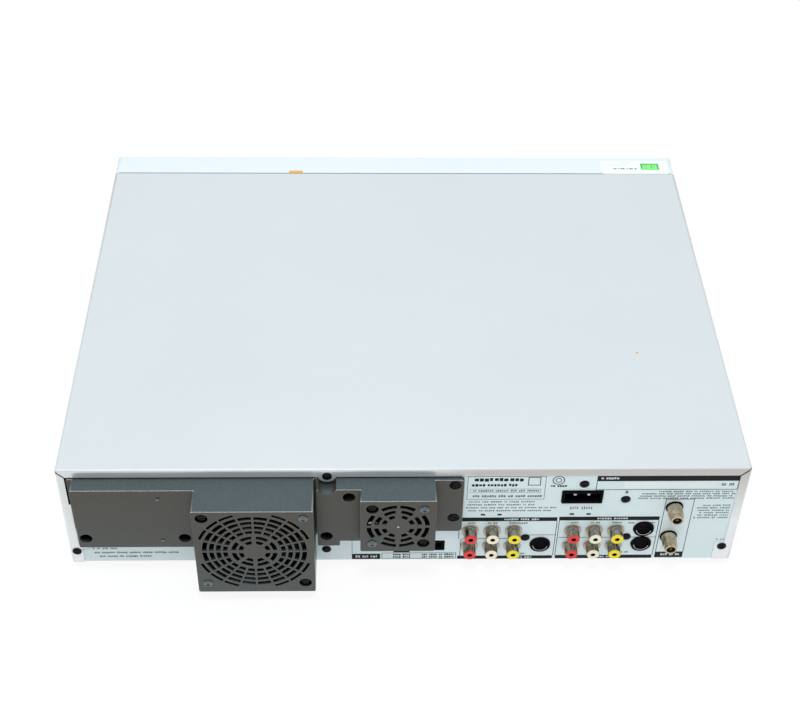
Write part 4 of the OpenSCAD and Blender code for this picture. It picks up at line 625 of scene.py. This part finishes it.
# The inlet pins' tips, whose pale finish paints a highlight on them.
tips = Piece("inlet_pin_tips", PALE_PIN_FOR_GLINT)
for x in PIN_PLACES:
    tips.turned([(0.01, -3.35), (1.14, -3.35), (1.14, -2.9), (0.95, -2.45), (0.55, -2.15), (0.01, -2.05)],
                at(x, 0, PIN_HEIGHT), OUT, 24)
tips.done()
pin = Piece("small_fan_pin", FINISH["bright_steel"], slot="bright_steel")
pin.turned([(0.01, -0.3), (0.75, -0.3), (0.7, 0.15), (0.4, 0.4), (0.01, 0.5)], at(4.4, 19.6, 56.2), OUT, 20)
pin.done()
# Bits of a torn label on the small fan, which show through its grille.
scraps = Piece("fan_label", PAPER)
for x0, x1, z0, z1 in [(21.0, 22.9, 55.6, 58.6), (17.4, 19.6, 56.0, 58.2), (14.6, 16.0, 56.2, 57.6)]:
    scraps.prism([at(x0, 17.3, z0), at(x1, 17.3, z0), at(x1, 17.3, z1 - 0.8), at(x0, 17.3, z1)], OUT * 0.0004)
scraps.done(False)
# Black sheets as painted shade in gaps: down the relief beside the duct, in the two mitres, and along the seam with
# the front panel.
gap_shade = Piece("flange_gap_shade", FINISH["fan_plastic"], slot="fan_plastic")
GAP_DEPTH = 0.0006
FLANGE_LOW, RELIEF_LOW = 80.7, 56
MITRE_HALF = 0.34
rim_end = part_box("large_fan_case")[1].x * 1000
x0, x1 = rim_end - 0.05, rim_end + 1.35
gap_shade.prism([at(x, -0.14, z) for x, z in ((x0, FLANGE_LOW), (x1, FLANGE_LOW), (x1, RELIEF_LOW), (x0, RELIEF_LOW))],
           OUT * -GAP_DEPTH)
for side, x, outer in ((1, rim_end + 1.3, 5.2), (-1, 208.7, 5.4)):
    for start, end, out in ((-0.5, 4.2, -0.18), (4.0, outer - 0.8, -1.0)):
        gap_shade.prism([at(side * (x + run + wide), out, FLANGE_LOW + run - wide) for run, wide in
                    ((start, MITRE_HALF), (start, -MITRE_HALF), (end, -MITRE_HALF), (end, MITRE_HALF))],
                   OUT * -GAP_DEPTH)
cover_front = (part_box("top_cover")[0].y - REAR) * 1000
y0, y1 = cover_front - 0.45, cover_front + 0.2
SEAM_HALF, SIDE, SIDE_LOW, SIDE_HIGH = 212, 215.01, 3.2, 83.8
gap_shade.prism([at(x, y, TOP + 0.01) for x, y in ((-SEAM_HALF, y0), (SEAM_HALF, y0), (SEAM_HALF, y1), (-SEAM_HALF, y1))],
           UP * -GAP_DEPTH)
for side in (-1, 1):
    gap_shade.prism([at(side * SIDE, y, z) for y, z in ((y0, SIDE_LOW), (y1, SIDE_LOW), (y1, SIDE_HIGH), (y0, SIDE_HIGH))],
               Vector((-side * GAP_DEPTH, 0, 0)))
gap_shade.done(False)


# ---------------------------------------------------------------- front: digits and key symbols
def face(name):
    """Middle and front of a key, in metres."""
    low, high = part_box(name)
    return Vector(((low.x + high.x) / 2, low.y, (low.z + high.z) / 2))


class Symbol(Piece):
    """Flat print on a face that looks to the front. Offsets in millimetres, x to the viewer's right."""

    def shape(self, centre, points, lift=0.02):
        corners = [centre + Vector((x, SINK, z)) / 1000 for x, z in points]
        self.prism(corners, OUT * -(lift + SINK) / 1000)

    def box(self, centre, x0, x1, z0, z1):
        self.shape(centre, [(x0, z0), (x1, z0), (x1, z1), (x0, z1)])


def key_symbol(name):
    """The plain mark on a key: a triangle, a square, a triangle over a bar, or a ring open at the top."""
    piece = Symbol(name + "_symbol", INK_GREY, name)
    middle = face(name)
    if name in ("tape_play_key", "disc_play_key"):
        piece.shape(middle, [(-1.2, -1.5), (1.5, 0), (-1.2, 1.5)])
    elif name == "tape_stop_key":
        piece.box(middle, -1.3, 1.3, -1.3, 1.3)
    elif name in ("tape_eject_key", "disc_open_key"):
        piece.shape(middle, [(-1.7, -0.4), (1.7, -0.4), (0, 1.6)])
        piece.box(middle, -1.7, 1.7, -1.5, -0.9)
    elif name == "channel_up_key":
        piece.shape(middle, [(-1.7, -1.2), (1.7, -1.2), (0, 1.5)])
    elif name == "channel_down_key":
        piece.shape(middle, [(-1.7, 1.2), (0, -1.5), (1.7, 1.2)])
    else:
        arc = [math.radians(a) for a in range(125, 416, 15)]
        for a0, a1 in zip(arc, arc[1:]):
            piece.shape(middle, [(r * math.cos(a), r * math.sin(a)) for r, a in
                                 ((1.9, a0), (1.9, a1), (2.5, a1), (2.5, a0))])
        piece.box(middle, -0.3, 0.3, 0.6, 2.9)
    piece.done(False)


for name in frame["nodes"]:
    if name.endswith("_key"):
        key_symbol(name)

# A plain clock in seven-bar digits on the lit block behind the window.
# Each bar is its place from the digit's middle, in half widths and half heights, and 1 if it stands.
SEGMENTS = {"0": "abcdef", "1": "bc", "2": "abged", "3": "abgcd"}
BARS = {"a": (0, 1, 0), "g": (0, 0, 0), "d": (0, -1, 0), "f": (-1, 0.5, 1), "b": (1, 0.5, 1), "e": (-1, -0.5, 1),
        "c": (1, -0.5, 1)}
HALF_WIDE, HALF_TALL = 2.1, 4.0
THICK, BODY, POINT = 0.45, 1.5, 1.85
DIGIT_LIFT = 0.1
digits = Symbol("display_digits", DIGITS)
window_low, window_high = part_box("display_window")
clock = Vector(((window_low.x + window_high.x) / 2, FRONT + 0.0045, (window_low.z + window_high.z) / 2))
for place, digit in zip((-12, -4.5, 4.5, 12), "1230"):
    for bar in SEGMENTS[digit]:
        x, z, tall = BARS[bar]
        x, z = place + x * HALF_WIDE, z * HALF_TALL
        if tall:
            outline = [(-THICK, -BODY), (0, -POINT), (THICK, -BODY), (THICK, BODY), (0, POINT), (-THICK, BODY)]
        else:
            outline = [(-BODY, -THICK), (BODY, -THICK), (POINT, 0), (BODY, THICK), (-BODY, THICK), (-POINT, 0)]
        digits.shape(clock, [(x + dx, z + dz) for dx, dz in outline], DIGIT_LIFT)
for z in (-1.4, 1.4):
    digits.shape(clock, [(x, z + dz) for x, dz in ((-THICK, -THICK), (THICK, -THICK), (THICK, THICK),
                                                   (-THICK, THICK))], DIGIT_LIFT)
digits.shape(clock, [(28, -3), (32.5, 0), (28, 3)], DIGIT_LIFT)
digits.done(False)
lamp = Piece("power_lamp", LAMP)
lamp_at = face("power_key") + Vector((0.010, 0, 0))
lamp_at.y = FRONT
lamp.turned([(0.01, -0.4), (1.1, -0.4), (1.1, 0.1), (0.8, 0.35), (0.01, 0.45)], lamp_at, -OUT, 24)
lamp.done()


# ---------------------------------------------------------------- things stuck on the cabinet
def plate(piece, x0, x1, y0, y1, z, depth, corner=1.0):
    """A flat sheet with rounded corners on a face that looks up. y runs outward from the rear flange."""
    points = []
    for cx, cy, a0 in [(x1 - corner, y1 - corner, 0), (x0 + corner, y1 - corner, 90),
                       (x0 + corner, y0 + corner, 180), (x1 - corner, y0 + corner, 270)]:
        for k in range(5):
            a = math.radians(a0 + k * 22.5)
            points.append(at(cx + corner * math.cos(a), cy + corner * math.sin(a), z))
    piece.prism(points, UP * depth / 1000)


PRINT_DEPTH = 0.03
sticker = Piece("top_sticker", WHITE)
plate(sticker, -211, -159, -326, -309, TOP - 0.04, 0.055)
sticker.done(False)
mark = Piece("sticker_block", PALE_GREEN)
plate(mark, -204, -190, -322.6, -314.2, TOP, PRINT_DEPTH, 0.5)
mark.done(False)
edge = Piece("sticker_block_edge", GREEN)
for x0, x1, y0, y1 in [(-203.7, -190.2, -322.5, -321.5), (-203.8, -202.9, -321.6, -315),
                       (-191, -190.1, -321.6, -316), (-198.6, -198, -320, -316.5)]:
    plate(edge, x0, x1, y0, y1, TOP + 0.005, PRINT_DEPTH, 0.2)
edge.done(False)
dashes = Piece("sticker_dashes", INK_GREY)
for x0, x1 in [(-186.5, -184.8), (-183.6, -180.4), (-179.6, -178.6), (-177.2, -173.8), (-173.0, -171.9),
               (-170.9, -168.6)]:
    plate(dashes, x0, x1, -316.4, -315.2, TOP, PRINT_DEPTH, 0.2)
dashes.done(False)
faint = Piece("sticker_lines", INK_PALE)
for x0, x1, y in [(-183, -174, -324.4), (-179.5, -165, -320.9)]:
    plate(faint, x0, x1, y, y + 0.4, TOP, PRINT_DEPTH, 0.15)
faint.done(False)
scrap = Piece("tape_scrap", ORANGE)
plate(scrap, 71.5, 82.5, -312.6, -309.2, TOP - 0.02, 0.05, 1.65)
scrap.done(False)
speck = Piece("cover_speck", ORANGE)
speck.turned([(0.01, -0.02), (1.1, -0.02), (0.8, 0.02), (0.01, 0.03)], at(-157.5, -105.7, TOP), UP, 14)
speck.done()


# ---------------------------------------------------------------- stage, light and camera
FLOOR_HALF = 8
floor_mesh = bpy.data.meshes.new("floor")
floor_mesh.from_pydata([(x * FLOOR_HALF, y * FLOOR_HALF, 0) for x, y in ((-1, -1), (1, -1), (1, 1), (-1, 1))],
                       [], [(0, 1, 2, 3)])
floor = bpy.data.objects.new("floor", floor_mesh)
bpy.context.scene.collection.objects.link(floor)


def seen_ray(nt):
    """1 for what the camera, a mirror or a clear piece sees, 0 for light that falls on the object."""
    path = nt.nodes.new("ShaderNodeLightPath")
    total = path.outputs["Is Camera Ray"]
    for name in ("Is Glossy Ray", "Is Transmission Ray"):
        add = nt.nodes.new("ShaderNodeMath")
        add.operation = "ADD"
        add.use_clamp = True
        nt.links.new(total, add.inputs[0])
        nt.links.new(path.outputs[name], add.inputs[1])
        total = add.outputs[0]
    return total


# A pale matt floor that keeps the object's shadow and otherwise shows near white.
FLOOR_WHITE = 0.84
t = Tree("floor")
t.finish(t.mix(t.ramp(t.noise(3), 0.3, 0.7), (0.80, 0.80, 0.80, 1), (0.82, 0.82, 0.82, 1)), 0.9, spec=0.0)
white = t.node("ShaderNodeEmission", Color=(1, 1, 1, 1), Strength=1.05)
share = t.nt.nodes.new("ShaderNodeMixShader")
t.put(share.inputs[0], t.math("MULTIPLY", seen_ray(t.nt), FLOOR_WHITE))
t.put(share.inputs[1], t.shader.outputs[0])
t.put(share.inputs[2], white.outputs[0])
t.put(t.nt.nodes["Material Output"].inputs[0], share.outputs[0])
floor_mesh.materials.append(t.mat)

world = bpy.data.worlds.new("studio")
bpy.context.scene.world = world
world.use_nodes = True
wt = world.node_tree
# A room's light: bluish from above, warmer and dimmer towards the horizon, and white where the camera sees it.
sky = wt.nodes.new("ShaderNodeSeparateXYZ")
wt.links.new(wt.nodes.new("ShaderNodeTexCoord").outputs["Generated"], sky.inputs[0])


def sky_light(node, low, high, dim, bright):
    """Gives a background node its colour by height and returns its strength, both from the horizon upwards."""
    fade = wt.nodes.new("ShaderNodeMapRange")
    wt.links.new(sky.outputs[2], fade.inputs[0])
    for i, v in enumerate((0.0, 0.5, dim, bright)):
        fade.inputs[i + 1].default_value = v
    tone = wt.nodes.new("ShaderNodeMix")
    tone.data_type = "RGBA"
    wt.links.new(sky.outputs[2], tone.inputs[0])
    tone.inputs[6].default_value = low
    tone.inputs[7].default_value = high
    wt.links.new(tone.outputs[2], node.inputs["Color"])
    return fade.outputs[0]


back = wt.nodes["Background"]
wt.links.new(sky_light(back, (1.0, 0.97, 0.93, 1), (0.84, 0.95, 1.0, 1), 0.50, 0.74), back.inputs["Strength"])
plain = wt.nodes.new("ShaderNodeBackground")
mirrored = sky_light(plain, (1.0, 0.97, 0.94, 1), (0.82, 0.95, 1.0, 1), 0.40, 0.95)
wt.links.new(mirrored, plain.inputs["Strength"])
clear = wt.nodes.new("ShaderNodeBackground")
clear.inputs["Color"].default_value = (1, 1, 1, 1)
seen = wt.nodes.new("ShaderNodeMixShader")
wt.links.new(wt.nodes.new("ShaderNodeLightPath").outputs["Is Camera Ray"], seen.inputs[0])
wt.links.new(plain.outputs[0], seen.inputs[1])
wt.links.new(clear.outputs[0], seen.inputs[2])
choose = wt.nodes.new("ShaderNodeMixShader")
wt.links.new(seen_ray(wt), choose.inputs[0])
wt.links.new(back.outputs[0], choose.inputs[1])
wt.links.new(seen.outputs[0], choose.inputs[2])
wt.links.new(choose.outputs[0], wt.nodes["World Output"].inputs[0])


def softbox(name, place, target, size, power):
    """A flat lamp turned to its target, in metres and watts."""
    light = bpy.data.lights.new(name, "AREA")
    light.shape = "RECTANGLE"
    light.size, light.size_y = size
    light.energy = power
    o = bpy.data.objects.new(name, light)
    bpy.context.scene.collection.objects.link(o)
    o.location = place
    o.rotation_euler = (Vector(target) - Vector(place)).to_track_quat("-Z", "Y").to_euler()
    return o


# The near and the front lamp are left out of gloss, where they would make the pale cover clip to white.
near_light = softbox("near_light", (0.03, 0.62, 1.45), (0, 0, 0.05), (0.30, 0.30), 8.5)
near_light.visible_glossy = False
softbox("high_light", (0.5, 1.3, 2.0), (0, 0, 0), (1.6, 1.2), 5)
front_light = softbox("front_light", (-0.12, -2.1, 0.75), (0, 0, 0), (1.2, 1.2), 3.3)
front_light.visible_glossy = False

# The camera as fitted to the photograph: angles in degrees, place in millimetres and focal length in pixels.
YAW, PITCH, ROLL = -2.1015, 42.7523, 1.3528
EYE = (27.668, 613.839, 751.243)
FOCAL, IMAGE_WIDTH, SENSOR = 1469.21, 800, 36
yaw, pitch, roll = (math.radians(a) for a in (YAW, PITCH, ROLL))
ahead = Vector((math.sin(yaw) * math.cos(pitch), -math.cos(yaw) * math.cos(pitch), -math.sin(pitch)))
right = ahead.cross(UP).normalized()
upward = right.cross(ahead)
side = right * math.cos(roll) + upward * math.sin(roll)
upward = upward * math.cos(roll) - right * math.sin(roll)
camera = bpy.data.objects.new("camera", bpy.data.cameras.new("camera"))
bpy.context.scene.collection.objects.link(camera)
turn = Matrix((side, upward, -ahead)).transposed().to_4x4()
camera.matrix_world = Matrix.Translation(at(*EYE)) @ turn
camera.data.sensor_width = SENSOR
camera.data.lens = FOCAL / IMAGE_WIDTH * SENSOR
camera.data.clip_end = 50
bpy.context.scene.camera = camera
bpy.context.scene.view_settings.view_transform = "Standard"
